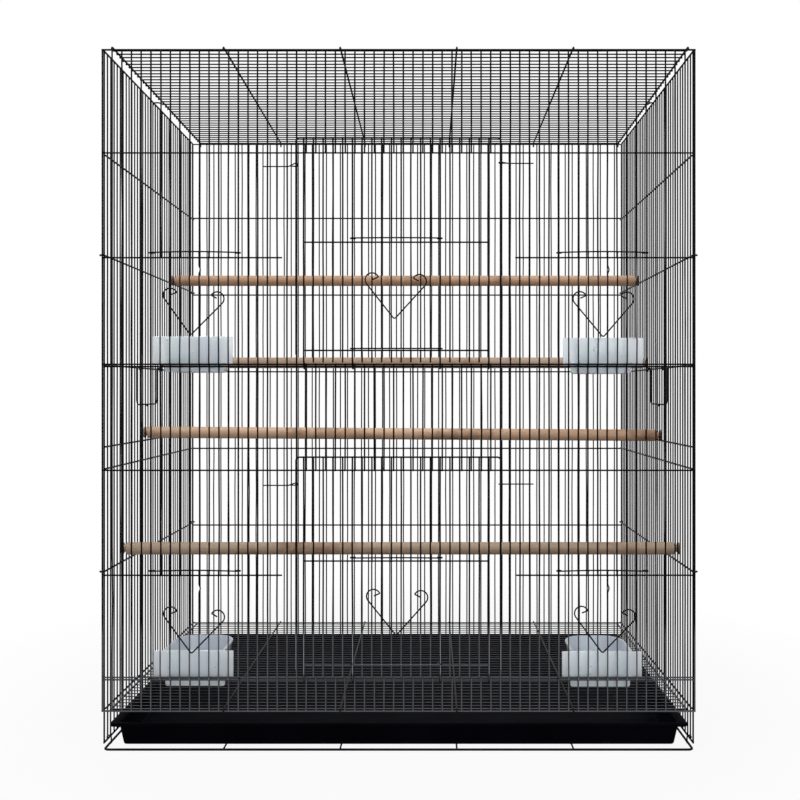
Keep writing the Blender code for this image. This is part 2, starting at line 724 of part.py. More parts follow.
def make_bail(name, side):
    """Handle that hooks round a side rail and hangs outside the panel."""
    radius = hook_radius(CROSS_RADIUS, BAIL_RADIUS)
    hang = SIDE_X + POST_RADIUS + 2 * SEAT_GAP + BAIL_RADIUS - SIDE_RAIL_X
    z = SIDE_MIDDLE_RAIL_Z
    front, back = side_bar_y(BAIL_FIRST_GAP + 0.5), side_bar_y(BAIL_FIRST_GAP + BAIL_GAPS + 0.5)
    middle = (front + back) / 2
    x = side * (SIDE_RAIL_X + hang)

    def eye(y):
        turn = [(SIDE_RAIL_X + a, z + b) for a, b in arc(radius, 315, 45, 6)]
        leg = [(SIDE_RAIL_X + hang, z + 2 * BAIL_RADIUS), (SIDE_RAIL_X + hang, z - radius)]
        return [(side * px, y, pz) for px, pz in turn + leg]

    low = z - BAIL_DROP
    points = eye(front)
    points += fillet((x, front, low), (x, front, z), (x, middle, low), BAIL_CORNER, 2)
    kink = BAIL_KINK
    points += [(x, middle - kink, low), (x, middle, low - kink), (x, middle + kink, low)]
    points += fillet((x, back, low), (x, middle, low), (x, back, z), BAIL_CORNER, 2)
    points += eye(back)[::-1]
    mesh = wires(name, [(points, BAIL_RADIUS, ALONG_Y)])
    place(name, [mesh], "powder_coat", origin=(side * SIDE_RAIL_X, middle, z))


# Feeding cups

def add_prism(bm, near, far):
    """Closed prism between two equal outlines."""
    loops = [[bm.verts.new(p) for p in outline] for outline in (near, far)]
    bm.faces.new(loops[0])
    bm.faces.new(reversed(loops[1]))
    count = len(near)
    for k in range(count):
        n = (k + 1) % count
        bm.faces.new((loops[0][n], loops[0][k], loops[1][k], loops[1][n]))


def plate_mesh(name, centre, sill, plate_y):
    """Plate with a wing on each side above the sill rails."""
    low, high = sill - CUP_DROP, sill - CUP_DROP + CUP_HEIGHT
    wing, body = CUP_PLATE_WIDTH / 2, CUP_BODY_WIDTH / 2 - CUP_DRAFT
    outline = [
        (-wing, sill), (-body, sill), (-body, low), (body, low),
        (body, sill), (wing, sill), (wing, high), (-wing, high),
    ]
    bm = bmesh.new()
    add_prism(bm, *[[(centre + x, y, z) for x, z in outline] for y in (plate_y, plate_y + CUP_WALL)])
    return mesh_of(f"{name}_plate", bm)


def cup_outline(half, front, depth, radius):
    """Counter-clockwise plan of a cup: square front, round back corners."""
    back = front + depth
    right = [(half - radius + a, back - radius + b) for a, b in arc(radius, 0, 90, 4)]
    left = [(-half + radius + a, back - radius + b) for a, b in arc(radius, 90, 180, 4)]
    return right + left + [(-half, front), (half, front)]


def make_cup(name, centre, sill):
    plate_y = HINGE_Y + CROSS_RADIUS + SEAT_GAP
    low, high = sill - CUP_DROP, sill - CUP_DROP + CUP_HEIGHT
    half, wall = CUP_BODY_WIDTH / 2, CUP_WALL
    front = plate_y + wall / 2

    def level(inset, inner_front, z):
        plan = cup_outline(half - inset, inner_front, CUP_DEPTH - inset - (inner_front - front),
                           CUP_CORNER_RADIUS - inset)
        return [(centre + x, y) for x, y in plan], z

    inner = front + wall
    levels = [
        level(CUP_DRAFT, front, low),
        level(0, front, high),
        level(wall, inner, high),
        level(CUP_DRAFT + wall, inner, low + wall),
    ]
    body = lathe_of_outlines(f"{name}_body", levels)
    plate = plate_mesh(name, centre, sill, plate_y)
    lugs = lug_mesh(name, centre, sill, plate_y)
    cup = place(name, [plate, body, lugs], "cup_plastic", origin=(centre, plate_y, sill))
    round_off(cup)


def lug_mesh(name, centre, sill, plate_y):
    """Two hooks on the cup's plate that sit over the sill rail."""
    top = sill + SILL_TWIN_RISE + CROSS_RADIUS + SEAT_GAP
    front = HINGE_Y - CROSS_RADIUS - SEAT_GAP
    thick = CUP_LUG_THICKNESS
    bm = bmesh.new()
    profile = [
        (plate_y + CUP_WALL / 2, top), (plate_y + CUP_WALL / 2, top + thick),
        (front - thick, top + thick), (front - thick, sill), (front, sill), (front, top),
    ]
    for s in (-1, 1):
        middle = centre + s * CUP_LUG_COLUMN * PITCH
        ends = (middle - CUP_LUG_WIDTH / 2, middle + CUP_LUG_WIDTH / 2)
        add_prism(bm, *[[(x, y, z) for y, z in profile] for x in ends])
    return mesh_of(f"{name}_lugs", bm)


# Perches

def make_perch(name, z, gap, tilt=0):
    """Dowel whose grooves grip two side wires at both ends; tilt in degrees."""
    y = side_bar_y(gap + 0.5)
    core = SIDE_PITCH / 2 - BAR_RADIUS - SEAT_GAP
    outer = SIDE_X + BAR_RADIUS + 2 * SEAT_GAP
    inner = outer - PERCH_GROOVE_WIDTH
    half = [
        (inner, PERCH_RADIUS), (inner, core), (outer, core), (outer, PERCH_RADIUS),
        (outer + PERCH_HEAD - PERCH_CHAMFER, PERCH_RADIUS),
        (outer + PERCH_HEAD, PERCH_RADIUS - PERCH_CHAMFER),
    ]
    profile = [(-x, r) for x, r in reversed(half)] + half
    bm = bmesh.new()
    rings = []
    for x, r in profile:
        turn = arc(r, 0, 360, PERCH_SIDES)[:-1]
        rings.append([bm.verts.new((x, a, b)) for a, b in turn])
    for near, far in zip(rings, rings[1:]):
        for k in range(PERCH_SIDES):
            n = (k + 1) % PERCH_SIDES
            bm.faces.new((near[k], near[n], far[n], far[k]))
    bm.faces.new(reversed(rings[0]))
    bm.faces.new(rings[-1])
    mesh = mesh_of(name, bm)
    mesh.transform(Matrix.Translation((0, y, z)) @ Matrix.Rotation(math.radians(tilt), 4, "Y"))
    perch = place(name, [mesh], "wood", origin=(0, y, z))
    round_off(perch)


# The whole cage

def make_cage():
    make_front_panel()
    make_back_panel()
    make_side_panel("left_side_panel", -1)
    make_side_panel("right_side_panel", 1)
    top_front = (RAIL_RADIUS, FRONT_Y, TOP_RAIL_Z)
    top_back = (RAIL_RADIUS, BACK_Y, TOP_RAIL_Z)
    make_grid("roof_panel", top_front, top_back, True)
    foot_front = (RAIL_RADIUS, FRONT_Y, FOOT_RAIL_Z)
    foot_back = (CROSS_RADIUS, BACK_Y - LAYER, BACK_FLOOR_RAIL_Z)
    make_grid("floor_grate", foot_front, foot_back, False)
    make_base_frame()
    make_litter_tray()
    storeys = (
        ("upper", UPPER_SILL_Z, UPPER_FEEDER_TOP_Z, UPPER_LINTEL_Z),
        ("lower", LOWER_SILL_Z, LOWER_FEEDER_TOP_Z, LOWER_LINTEL_Z),
    )
    for storey, sill, feeder_top, lintel in storeys:
        door = make_big_door(f"{storey}_door", sill, lintel)
        hatch_sill, hatch_top = hatch_heights(sill, lintel)
        low = hatch_sill + CROSS_RADIUS + SEAT_GAP + BAR_RADIUS
        centre = door_x(0)
        hatch = make_small_door(f"{storey}_hatch", centre, low, hatch_top, DOOR_Y, guide_hook, door)
        make_heart(f"{storey}_hatch_handle", centre, DOOR_Y, hatch)
        for side, word in ((-1, "left"), (1, "right")):
            make_latch(f"{storey}_{word}_latch", side, lintel, door)
            centre = side * FEEDER_COLUMN * PITCH
            name, low = f"{storey}_{word}_feeder_door", sill + SILL_TWIN_RISE
            flap = make_small_door(name, centre, low, feeder_top, FRONT_Y, guide_elbow)
            make_heart(f"{storey}_{word}_feeder_handle", centre, FRONT_Y, flap)
            make_cup(f"{storey}_{word}_cup", centre, sill)
    make_bail("left_carry_handle", -1)
    make_bail("right_carry_handle", 1)
    make_perch("perch_1", PERCH_HEIGHTS[0], 26)
    make_perch("perch_2", PERCH_HEIGHTS[1], 21)
    make_perch("perch_3", PERCH_HEIGHTS[2], 14, PERCH_TILT)
    make_perch("perch_4", PERCH_HEIGHTS[3], 6)


for old in list(bpy.data.objects):
    bpy.data.objects.remove(old, do_unlink=True)
make_cage()
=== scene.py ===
"""The looks of a black wire flight cage for small birds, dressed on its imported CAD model.

Each panel, door and handle is drawn here as round wire with its welds, in place of the
CAD model's square bars. The cups, tray and perches are drawn with their moulded and
turned detail. Lengths are in metres and angles in degrees, in the CAD model's frame: X to
the right, Y to the back, Z up.
"""

import json
import math
import random

import bpy
from mathutils import Matrix, Vector


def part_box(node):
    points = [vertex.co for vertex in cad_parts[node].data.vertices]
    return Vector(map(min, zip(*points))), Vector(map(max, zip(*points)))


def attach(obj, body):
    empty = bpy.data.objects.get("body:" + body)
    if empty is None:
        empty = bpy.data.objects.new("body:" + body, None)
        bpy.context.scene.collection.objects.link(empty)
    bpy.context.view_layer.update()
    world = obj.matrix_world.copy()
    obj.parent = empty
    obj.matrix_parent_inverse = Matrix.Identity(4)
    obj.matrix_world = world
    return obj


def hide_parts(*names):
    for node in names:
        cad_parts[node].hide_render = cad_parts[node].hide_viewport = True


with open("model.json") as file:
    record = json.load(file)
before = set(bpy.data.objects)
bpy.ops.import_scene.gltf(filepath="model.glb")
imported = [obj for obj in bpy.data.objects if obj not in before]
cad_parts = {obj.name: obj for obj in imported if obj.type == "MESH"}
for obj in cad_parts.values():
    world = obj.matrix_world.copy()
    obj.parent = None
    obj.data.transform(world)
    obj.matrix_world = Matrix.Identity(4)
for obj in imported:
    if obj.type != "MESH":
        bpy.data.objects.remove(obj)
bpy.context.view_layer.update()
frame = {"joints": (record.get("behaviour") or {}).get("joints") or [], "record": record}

joints = {joint["name"]: joint for joint in frame["joints"]}

# Wire radii
BAR = 0.00105
FINE_BAR = 0.00099
POST = 0.00114
RAIL = 0.00125
BACK_RAIL = 0.00105
BACK_CROSS = 0.00125
SIDE_CROSS = 0.0012
ROOF_CROSS = 0.0013
GRATE_BAR = 0.00072
CROSS = 0.00104
DOOR_FRAME = 0.00114
SMALL_WIRE = 0.00092
LATCH_WIRE = 0.0008
BAIL_WIRE = 0.0011
BASE_WIRE = 0.0015

# How far a wire's end is drawn in, as shares of its radius
END_WIDTH = 0.72
END_LENGTH = 0.3

# Where wires cross
LAYER = 0.0021
WIRE_END = 0.0010
WELD_REACH = 0.00120
WELD_WIDTH = 0.92
WELD_BAND = 0.45
WELD_SIDES = 6
SMALL_WELD = 0.0013
DOOR_WELD = 0.0014

# How a bend fits its runs: a share of the shorter one, and half the angle left as it is
BEND_SHARE = 0.45
NEARLY_STRAIGHT = 88

# How far wires stray from straight
WIRE_STRAY = 0.00018
SIDE_STRAY = 0.00042
GRID_STRAY = 0.00022
DOOR_STRAY = 0.00015
SMALL_STRAY = 0.00025
STRAY_LIMIT = 1.8
STRAY_STRIDE = 0.07
RAIL_SAG = 0.0002

# Places read from the frame, where CAD_BAR is half the width of the solids' outer bars
CAD_BAR = 0.00135
FRONT_Y = frame["record"]["mounts"][0]["pos_m"][1]
UPPER_HINGE = joints["upper_door_hinge"]["pos_m"]
LOWER_HINGE = joints["lower_door_hinge"]["pos_m"]
UPPER_LATCH = joints["upper_right_latch_turn"]["pos_m"]
LOWER_LATCH = joints["lower_right_latch_turn"]["pos_m"]
BAIL_HINGE = joints["right_carry_handle_swing"]["pos_m"]
HINGE_Y = UPPER_HINGE[1]
DOOR_SIDE_X = UPPER_LATCH[0]
DOOR_Y = UPPER_LATCH[1]
SIDE_RAIL_X = BAIL_HINGE[0]
SIDE_X = SIDE_RAIL_X + LAYER
BACK_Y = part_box("back_panel")[1][1] - CAD_BAR
TOP_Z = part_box("front_panel")[1][2] - CAD_BAR
FRONT_EDGE_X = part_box("front_panel")[1][0] - CAD_BAR

# Front panel
FRONT_GAPS = 61
PITCH = 2 * FRONT_EDGE_X / FRONT_GAPS
DOOR_GAPS = 21
FEEDER_GAPS = 9
FEEDER_COLUMN = 21
FOOT_RAIL_Z = 0.0510
SILL_TWIN_RISE = 0.0030
LOWER_SILL_Z = LOWER_HINGE[2] - SILL_TWIN_RISE / 2
LOWER_FEEDER_TOP_Z = 0.2251
LOWER_LINTEL_Z = 0.3601
UPPER_SILL_Z = UPPER_HINGE[2] - SILL_TWIN_RISE / 2
UPPER_FEEDER_TOP_Z = 0.6339
UPPER_LINTEL_Z = 0.7688
FEEDER_RAIL_REACH = 0.1500

# Side and back panels
SIDE_GAPS = 36
CORNER_SETBACK = 0.0050
CORNER_TURN = 0.0027
SIDE_PITCH = (BACK_Y - FRONT_Y - 2 * CORNER_SETBACK) / SIDE_GAPS
GROUND_RAIL_Z = 0.0086
SIDE_PLAIN_RAILS = (0.0530, 0.3620, 0.3903, 0.4957, 0.7660)
SIDE_HOOKED_RAILS = (0.2304, 0.6366)
BACK_RAILS = (0.05135, 0.2250, 0.3610, 0.4970, 0.6330, 0.7690)

# Roof and floor grids
ROOF_EDGE_INSETS = {-1: (0.0125, 0.0125), 1: (0.0085, 0.0050)}
GRATE_EDGE_INSETS = {-1: (0.0085, 0.0085), 1: (0.0085, 0.0085)}
GRID_CROSS_COLUMNS = (-18, -6, 6, 18)
GRID_WELD = RAIL * 1.25
RAIL_TURN = 0.0028
BACK_FOOT_TURN = 0.00245
ROOF_HOOK_TURN = 0.00305
ROOF_HOOK_BEND = 0.0030
ROOF_TIP = 0.0042

# Base frame
BASE_TOP = 0.0040
BASE_BEAD = 0.0012
BASE_SEAM_BEAD = BASE_WIRE * 1.15
BASE_CORNER = 0.0060
BASE_HOOK_GAPS = (1.5, 34.5)
BASE_HOOK_TURN = 0.0027

# Big doors and their hatches
DOOR_BAR_GAPS = 19
DOOR_SHIFT = 0.00275
DOOR_LAP = 0.0175
DOOR_CORNER = 0.0045
HINGE_TURN = 0.0042
HINGE_CURL = (415, 190)
HINGE_BEND = 0.0040
DOOR_HOOK_RISE = 0.0100
DOOR_BAR_FOOT = 0.0050
DOOR_SIDE_FOOT = 0.0150
HATCH_SILL_RISE = 0.0206
HATCH_TOP_DROP = 0.1158
SMALL_DOOR_LAP = 0.0060
HATCH_REST = 0.0023
HATCH_LAP = 0.0047
HATCH_TOP_BOW = 0.0004
GUIDE_TURN = 0.0026
SMALL_HOOK_RETURN = 0.0040
SMALL_TOP_BOW = 0.0012
KINK_SIZE = 0.0016
KINK_LENGTH = 0.0120
KINK_DROP = 0.0220

# Heart-shaped pulls
HEART_LOBE = (0.0302, 0.0492)
HEART_LOBE_RADIUS = 0.0088
HEART_LOBE_END = 154
HEART_TIP = (-0.0006, 0.0004)
HEART_TIP_BEND = 0.0014
HEART_POINT_BEND = 0.0022

# Latches
LATCH_LOOP_LENGTH = 0.0104
LATCH_TURN = 0.0025
LATCH_BEND = 0.0040
LATCH_CLEARANCE = 0.0004
LATCH_LEANS = {-1: -42, 1: -4}
LATCH_LIFTS = {"upper_right_latch": 0.0026}

# Carrying bails
BAIL_SPAN = 8 * SIDE_PITCH
BAIL_DROP = 0.0530
BAIL_CORNER = 0.0090
BAIL_KINK = 0.0030
BAIL_OUT = 0.00505
BAIL_TURN = 0.00255
BAIL_CURL = (315, 60)
BAIL_SHOULDER = 0.0022
BAIL_LEG = 0.0040
BAIL_BEND = 0.0016

# Litter tray
TRAY_SIDE_OVERHANG = 0.0110
TRAY_SIDE_DRAFT = 0.0050
TRAY_END_OVERHANG = 0.0030
TRAY_END_DRAFT = 0.0015
TRAY_WALL = 0.0020
TRAY_LIP = 0.0045
TRAY_LIP_WALL = 0.0015
TRAY_CORNER = 0.0060

# Feeding cups
CUP_PLATE_WIDTH = 0.1030
CUP_BODY_WIDTH = 0.0770
CUP_HEIGHT = 0.0455
CUP_DROP = 0.0072
CUP_DEPTH = 0.0780
CUP_WALL = 0.0018
CUP_DRAFT = 0.0045
CUP_CORNER = 0.0275
CUP_FRONT_CORNER = 0.0015
CUP_SEAT = 0.0013
CUP_WING_RISE = 0.0012
CUP_LUG_COLUMN = 3
CUP_LUG_WIDTH = 0.0030
CUP_LUG_HEIGHT = 0.0009
CUP_TONGUE_SHIFT = 0.0022
CUP_TONGUE_CORNER = 0.0028
CUP_WING_LOW_CORNER = 0.0014
CUP_WING_TOP_CORNER = 0.0009
CUP_SOFT_EDGE = 0.0004

# Perches
PERCH_RADIUS = 0.0085
PERCH_GROOVE = 0.0052
PERCH_COLLAR = 0.0016
PERCH_CORE_GAP = 0.0013
PERCH_TILTS = {3: 0.35}

ALONG_X = Vector((1, 0, 0))
ALONG_Y = Vector((0, 1, 0))
ALONG_Z = Vector((0, 0, 1))


# Mesh making

def new_object(name, data):
    thing = bpy.data.objects.new(name, data)
    bpy.context.collection.objects.link(thing)
    return thing


class Shape:
    """Points and faces of one piece, gathered before its mesh is made."""

    def __init__(self):
        self.points = []
        self.faces = []

    def ring(self, centre, across, up, radius, sides):
        first = len(self.points)
        for k in range(sides):
            turn = math.tau * k / sides
            self.points.append(centre + radius * (math.cos(turn) * across + math.sin(turn) * up))
        return list(range(first, first + sides))

    def skin(self, rings):
        """Faces from each ring of points to the next, and over both ends."""
        count = len(rings[0])
        for near, far in zip(rings, rings[1:]):
            for k in range(count):
                n = (k + 1) % count
                self.faces.append((near[k], near[n], far[n], far[k]))
        self.faces.append(tuple(reversed(rings[0])))
        self.faces.append(tuple(rings[-1]))

    def tube(self, route, radius, sides=8):
        """Round wire along a route, with softly rounded ends."""
        route = [Vector(p) for p in route]
        ahead = (route[1] - route[0]).normalized()
        across = ahead.orthogonal().normalized()
        rings = []
        last = len(route) - 1
        for i, point in enumerate(route):
            back = route[i] - route[i - 1] if i else route[1] - route[0]
            forth = route[i + 1] - route[i] if i < last else back
            facing = (back.normalized() + forth.normalized()).normalized()
            across = (ahead.rotation_difference(facing) @ across).normalized()
            ahead = facing
            up = ahead.cross(across)
            if i == 0:
                rings.append(self.ring(point, across, up, radius * END_WIDTH, sides))
                point = point + ahead * radius * END_LENGTH
            if i == last:
                shoulder = point - ahead * radius * END_LENGTH
                rings.append(self.ring(shoulder, across, up, radius, sides))
                rings.append(self.ring(point, across, up, radius * END_WIDTH, sides))
            else:
                rings.append(self.ring(point, across, up, radius, sides))
        self.skin(rings)

    def weld(self, centre, long_axis, size=WELD_REACH):
        """Small bead of coating and metal where two wires meet."""
        turn = ALONG_Z.rotation_difference(long_axis)
        first = len(self.points)
        self.points.append(centre - turn @ Vector((0, 0, size)))
        width = size * WELD_WIDTH
        for height in (-WELD_BAND, WELD_BAND):
            for k in range(WELD_SIDES):
                angle = math.tau * k / WELD_SIDES
                spot = Vector((width * math.cos(angle), width * math.sin(angle), height * size))
                self.points.append(centre + turn @ spot)
        self.points.append(centre + turn @ Vector((0, 0, size)))
        low, high = first + 1, first + 1 + WELD_SIDES
        top = high + WELD_SIDES
        for k in range(WELD_SIDES):
            n = (k + 1) % WELD_SIDES
            self.faces.append((first, low + n, low + k))
            self.faces.append((low + k, low + n, high + n, high + k))
            self.faces.append((high + k, high + n, top))

    def loft(self, outlines):
        """Skin through outlines of equal length, closed at both ends."""
        rings = []
        for outline in outlines:
            first = len(self.points)
            self.points += [Vector(p) for p in outline]
            rings.append(list(range(first, first + len(outline))))
        self.skin(rings)

    def piece(self, name, body, node, coat, sharp=40):
        mesh = bpy.data.meshes.new(name)
        mesh.from_pydata(self.points, [], self.faces)
        mesh.update()
        mesh.shade_smooth()
        mesh.set_sharp_from_angle(angle=math.radians(sharp))
        mesh.materials.append(coat)
        thing = new_object(name, mesh)
        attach(thing, body)
        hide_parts(node)


def arc(radius, start, stop, steps):
    """Pairs along a circle about the origin, between two angles in degrees."""
    turns = [math.radians(start + (stop - start) * i / steps) for i in range(steps + 1)]
    return [(radius * math.cos(t), radius * math.sin(t)) for t in turns]


def fillet(corner, before, after, radius, steps=8):
    """Points of a round corner between two straight runs."""
    corner, before, after = Vector(corner), Vector(before), Vector(after)
    inward = (before - corner).normalized()
    outward = (after - corner).normalized()
    half = inward.angle(outward) / 2
    middle = corner + (inward + outward).normalized() * radius / math.sin(half)
    first = corner + inward * radius / math.tan(half) - middle
    last = corner + outward * radius / math.tan(half) - middle
    return [middle + radius * first.slerp(last, i / steps) for i in range(steps + 1)]


def bend(route, radius, steps=4):
    """The route with each inner corner rounded."""
    route = [Vector(p) for p in route]
    smooth = [route[0]]
    for before, corner, after in zip(route, route[1:], route[2:]):
        room = BEND_SHARE * min((before - corner).length, (after - corner).length)
        half = (before - corner).angle(after - corner) / 2
        if half > math.radians(NEARLY_STRAIGHT):
            smooth.append(corner)
            continue
        fit = min(radius, room * math.tan(half))
        smooth += fillet(corner, before, after, fit, steps)
    return smooth + [route[-1]]


def wandering(start, stop, sideways, chance, amount):
    """Points of a nearly straight wire, which strays a hair to the side."""
    start, stop = Vector(start), Vector(stop)
    count = max(1, round((stop - start).length / STRAY_STRIDE))
    route = [start]
    for i in range(1, count):
        stray = sideways * chance.gauss(0, amount)
        route.append(start.lerp(stop, i / count) + stray)
    return route + [stop]


# Materials. A gloss is a specular level, a shade is a place on a ramp and its colour, and a
# painted highlight is its fades, each from a start to where it is full, and its grey.

WIRE_BLACK = (0.0045, 0.0045, 0.0055)
WIRE_SHADES = [(0.35, (0.003, 0.003, 0.004)), (0.70, (0.007, 0.007, 0.009))]
WIRE_GLOSS = 0.06
# Specular level of the coats that carry a painted highlight
PAINTED_HIGHLIGHT_GLOSS = 0.03
# Painted highlight: a grey on the front faces of the wires low on the front panel, doors and
# hatches, fading in below 165 mm
LOW_PAINTED_HIGHLIGHT = ((("Object", "Z", 0.165, 0.145), ("Normal", "Y", -0.90, -0.98)), (0.33, 0.34, 0.37))
# Painted highlight: a pale grey on the upward faces of the floor grate's wires, where overhead
# light catches them
TOP_PAINTED_HIGHLIGHT = ((("Normal", "Z", 0.90, 0.985),), (0.66, 0.68, 0.73))
TRAY_BLACK = (0.002, 0.0022, 0.004)
TRAY_SHADES = [(0.30, (0.0010, 0.0011, 0.0020)), (0.75, (0.0028, 0.0030, 0.0052))]
TRAY_GLOSS = 0.012
CUP_BLUE = (0.84, 0.87, 0.91)
CUP_SHADES = [(0.25, (0.87, 0.91, 0.965)), (0.80, (0.91, 0.94, 0.985))]
# Painted shade: the cups' blue grows darker towards their backs, as if the inside of a cup lay in
# shade
CUP_PAINTED_SHADE_BLUE = (0.74, 0.80, 0.89)
CUP_PAINTED_SHADE_Y = (-0.205, -0.165)
WOOD_BROWN = (0.50, 0.34, 0.22)
WOOD_SHADES = (
    (0.30, (0.32, 0.190, 0.118)), (0.52, (0.47, 0.305, 0.203)), (0.76, (0.585, 0.420, 0.305)),
)
WOOD_GLOSS = 0.35
WOOD_STAIN = (0.235, 0.125, 0.070)
WOOD_STAIN_RANGE = (0.53, 0.68)
PERCH_TINTS = ((1.00, 0.91, 0.84), (0.86, 0.93, 1.00), (1.18, 1.16, 1.14), (0.86, 0.96, 1.04))


def shader_of(material):
    return material.node_tree.nodes["Principled BSDF"]


def new_material(name, colour, roughness):
    material = bpy.data.materials.new(name)
    material.use_nodes = True
    shader = shader_of(material)
    shader.inputs["Base Color"].default_value = (*colour, 1)
    shader.inputs["Roughness"].default_value = roughness
    material.diffuse_color = (*colour, 1)
    return material


def add_node(owner, kind, **values):
    """New node in a material or world, with its inputs or settings."""
    node = owner.node_tree.nodes.new(kind)
    for key, value in values.items():
        if key in node.inputs:
            node.inputs[key].default_value = value
        else:
            setattr(node, key, value)
    return node


def join(owner, source, target):
    owner.node_tree.links.new(source, target)


def calculate(owner, operation, first, second):
    node = add_node(owner, "ShaderNodeMath", operation=operation)
    join(owner, first, node.inputs[0])
    join(owner, second, node.inputs[1])
    return node.outputs["Value"]


def map_range(owner, value, source=(0, 1), target=(0, 1)):
    """Number that crosses the target as a value crosses the source."""
    spread = add_node(owner, "ShaderNodeMapRange")
    for word, (start, stop) in (("From", source), ("To", target)):
        spread.inputs[f"{word} Min"].default_value = start
        spread.inputs[f"{word} Max"].default_value = stop
    join(owner, value, spread.inputs["Value"])
    return spread.outputs["Result"]


def object_noise(material, scale, detail, roughness=0.55, stretch=(1, 1, 1)):
    place = add_node(material, "ShaderNodeTexCoord")
    mapping = add_node(material, "ShaderNodeMapping", Scale=stretch)
    noise = add_node(material, "ShaderNodeTexNoise",
                     Scale=scale, Detail=detail, Roughness=roughness)
    join(material, place.outputs["Object"], mapping.inputs["Vector"])
    join(material, mapping.outputs["Vector"], noise.inputs["Vector"])
    return noise.outputs["Fac"]


def colour_ramp(material, factor, stops):
    """Colour ramp with (place, colour) stops, fed by a factor."""
    ramp = add_node(material, "ShaderNodeValToRGB")
    elements = ramp.color_ramp.elements
    while len(elements) < len(stops):
        elements.new(0.5)
    for element, (place, colour) in zip(elements, stops):
        element.position = place
        element.color = (*colour, 1)
    join(material, factor, ramp.inputs["Fac"])
    return ramp.outputs["Color"]


def bump(material, height, strength, distance, base=None):
    node = add_node(material, "ShaderNodeBump", Strength=strength, Distance=distance)
    join(material, height, node.inputs["Height"])
    if base:
        join(material, base, node.inputs["Normal"])
    join(material, node.outputs["Normal"], shader_of(material).inputs["Normal"])
    return node.outputs["Normal"]


def mix_colours(material, factor, first, second):
    """Blend from the first colour's socket to a plain second colour."""
    mix = add_node(material, "ShaderNodeMix", data_type="RGBA")
    ends = [socket for socket in mix.inputs if socket.type == "RGBA"]
    ends[1].default_value = (*second, 1)
    join(material, factor, mix.inputs["Factor"])
    join(material, first, ends[0])
    return next(socket for socket in mix.outputs if socket.type == "RGBA")


def coordinate(material, output, axis):
    """One axis of a point's place in its object, or of its surface's normal."""
    kind = "ShaderNodeTexCoord" if output == "Object" else "ShaderNodeNewGeometry"
    split = add_node(material, "ShaderNodeSeparateXYZ")
    join(material, add_node(material, kind).outputs[output], split.inputs["Vector"])
    return split.outputs[axis]


def powder_coat(name, painted_highlight=None):
    """Satin black coating with a fine orange peel, and a painted highlight in grey where all its
    fades are full.
    """
    coat = new_material(name, WIRE_BLACK, 0.34)
    shader = shader_of(coat)
    patch = object_noise(coat, 45, 4)
    colour = colour_ramp(coat, patch, WIRE_SHADES)
    # Painted highlight: the grey is mixed in where every fade is full
    if painted_highlight:
        fades, grey = painted_highlight
        highlight_share = None
        for output, axis, *ends in fades:
            part = map_range(coat, coordinate(coat, output, axis), ends)
            highlight_share = calculate(coat, "MULTIPLY", highlight_share, part) if highlight_share else part
        colour = mix_colours(coat, highlight_share, colour, grey)
    join(coat, colour, shader.inputs["Base Color"])
    join(coat, map_range(coat, patch, target=(0.26, 0.42)), shader.inputs["Roughness"])
    shader.inputs["Specular IOR Level"].default_value = PAINTED_HIGHLIGHT_GLOSS if painted_highlight else WIRE_GLOSS
    bump(coat, object_noise(coat, 1400, 2), 0.25, 0.00012)
    return coat


def tray_plastic():
    """Black moulded plastic, with a fine leather texture and faint scuffs."""
    plastic = new_material("tray_plastic", TRAY_BLACK, 0.42)
    shader = shader_of(plastic)
    cloud = object_noise(plastic, 9, 5)
    join(plastic, colour_ramp(plastic, cloud, TRAY_SHADES), shader.inputs["Base Color"])
    scuff = object_noise(plastic, 60, 6, 0.7, (0.25, 1, 1))
    join(plastic, map_range(plastic, scuff, target=(0.45, 0.65)), shader.inputs["Roughness"])
    shader.inputs["Specular IOR Level"].default_value = TRAY_GLOSS
    grain = bump(plastic, object_noise(plastic, 900, 3, 0.6), 0.30, 0.0002)
    bump(plastic, object_noise(plastic, 14, 2), 0.15, 0.0008, grain)
    return plastic


def cup_plastic():
    """Milky pale blue plastic, which lets some light through, with painted shade that darkens it
    towards the back.
    """
    plastic = new_material("cup_plastic", CUP_BLUE, 0.30)
    shader = shader_of(plastic)
    cloud = object_noise(plastic, 22, 3)
    colour = colour_ramp(plastic, cloud, CUP_SHADES)
    # Painted shade, darker towards the cup's back
    depth = map_range(plastic, coordinate(plastic, "Object", "Y"), CUP_PAINTED_SHADE_Y)
    join(plastic, mix_colours(plastic, depth, colour, CUP_PAINTED_SHADE_BLUE), shader.inputs["Base Color"])
    gloss = object_noise(plastic, 120, 4)
    join(plastic, map_range(plastic, gloss, target=(0.22, 0.40)), shader.inputs["Roughness"])
    shader.inputs["Transmission Weight"].default_value = 0.50
    shader.inputs["IOR"].default_value = 1.49
    shader.inputs["Subsurface Weight"].default_value = 0.25
    shader.inputs["Subsurface Scale"].default_value = 0.004
    bump(plastic, object_noise(plastic, 260, 2), 0.12, 0.0002)
    return plastic


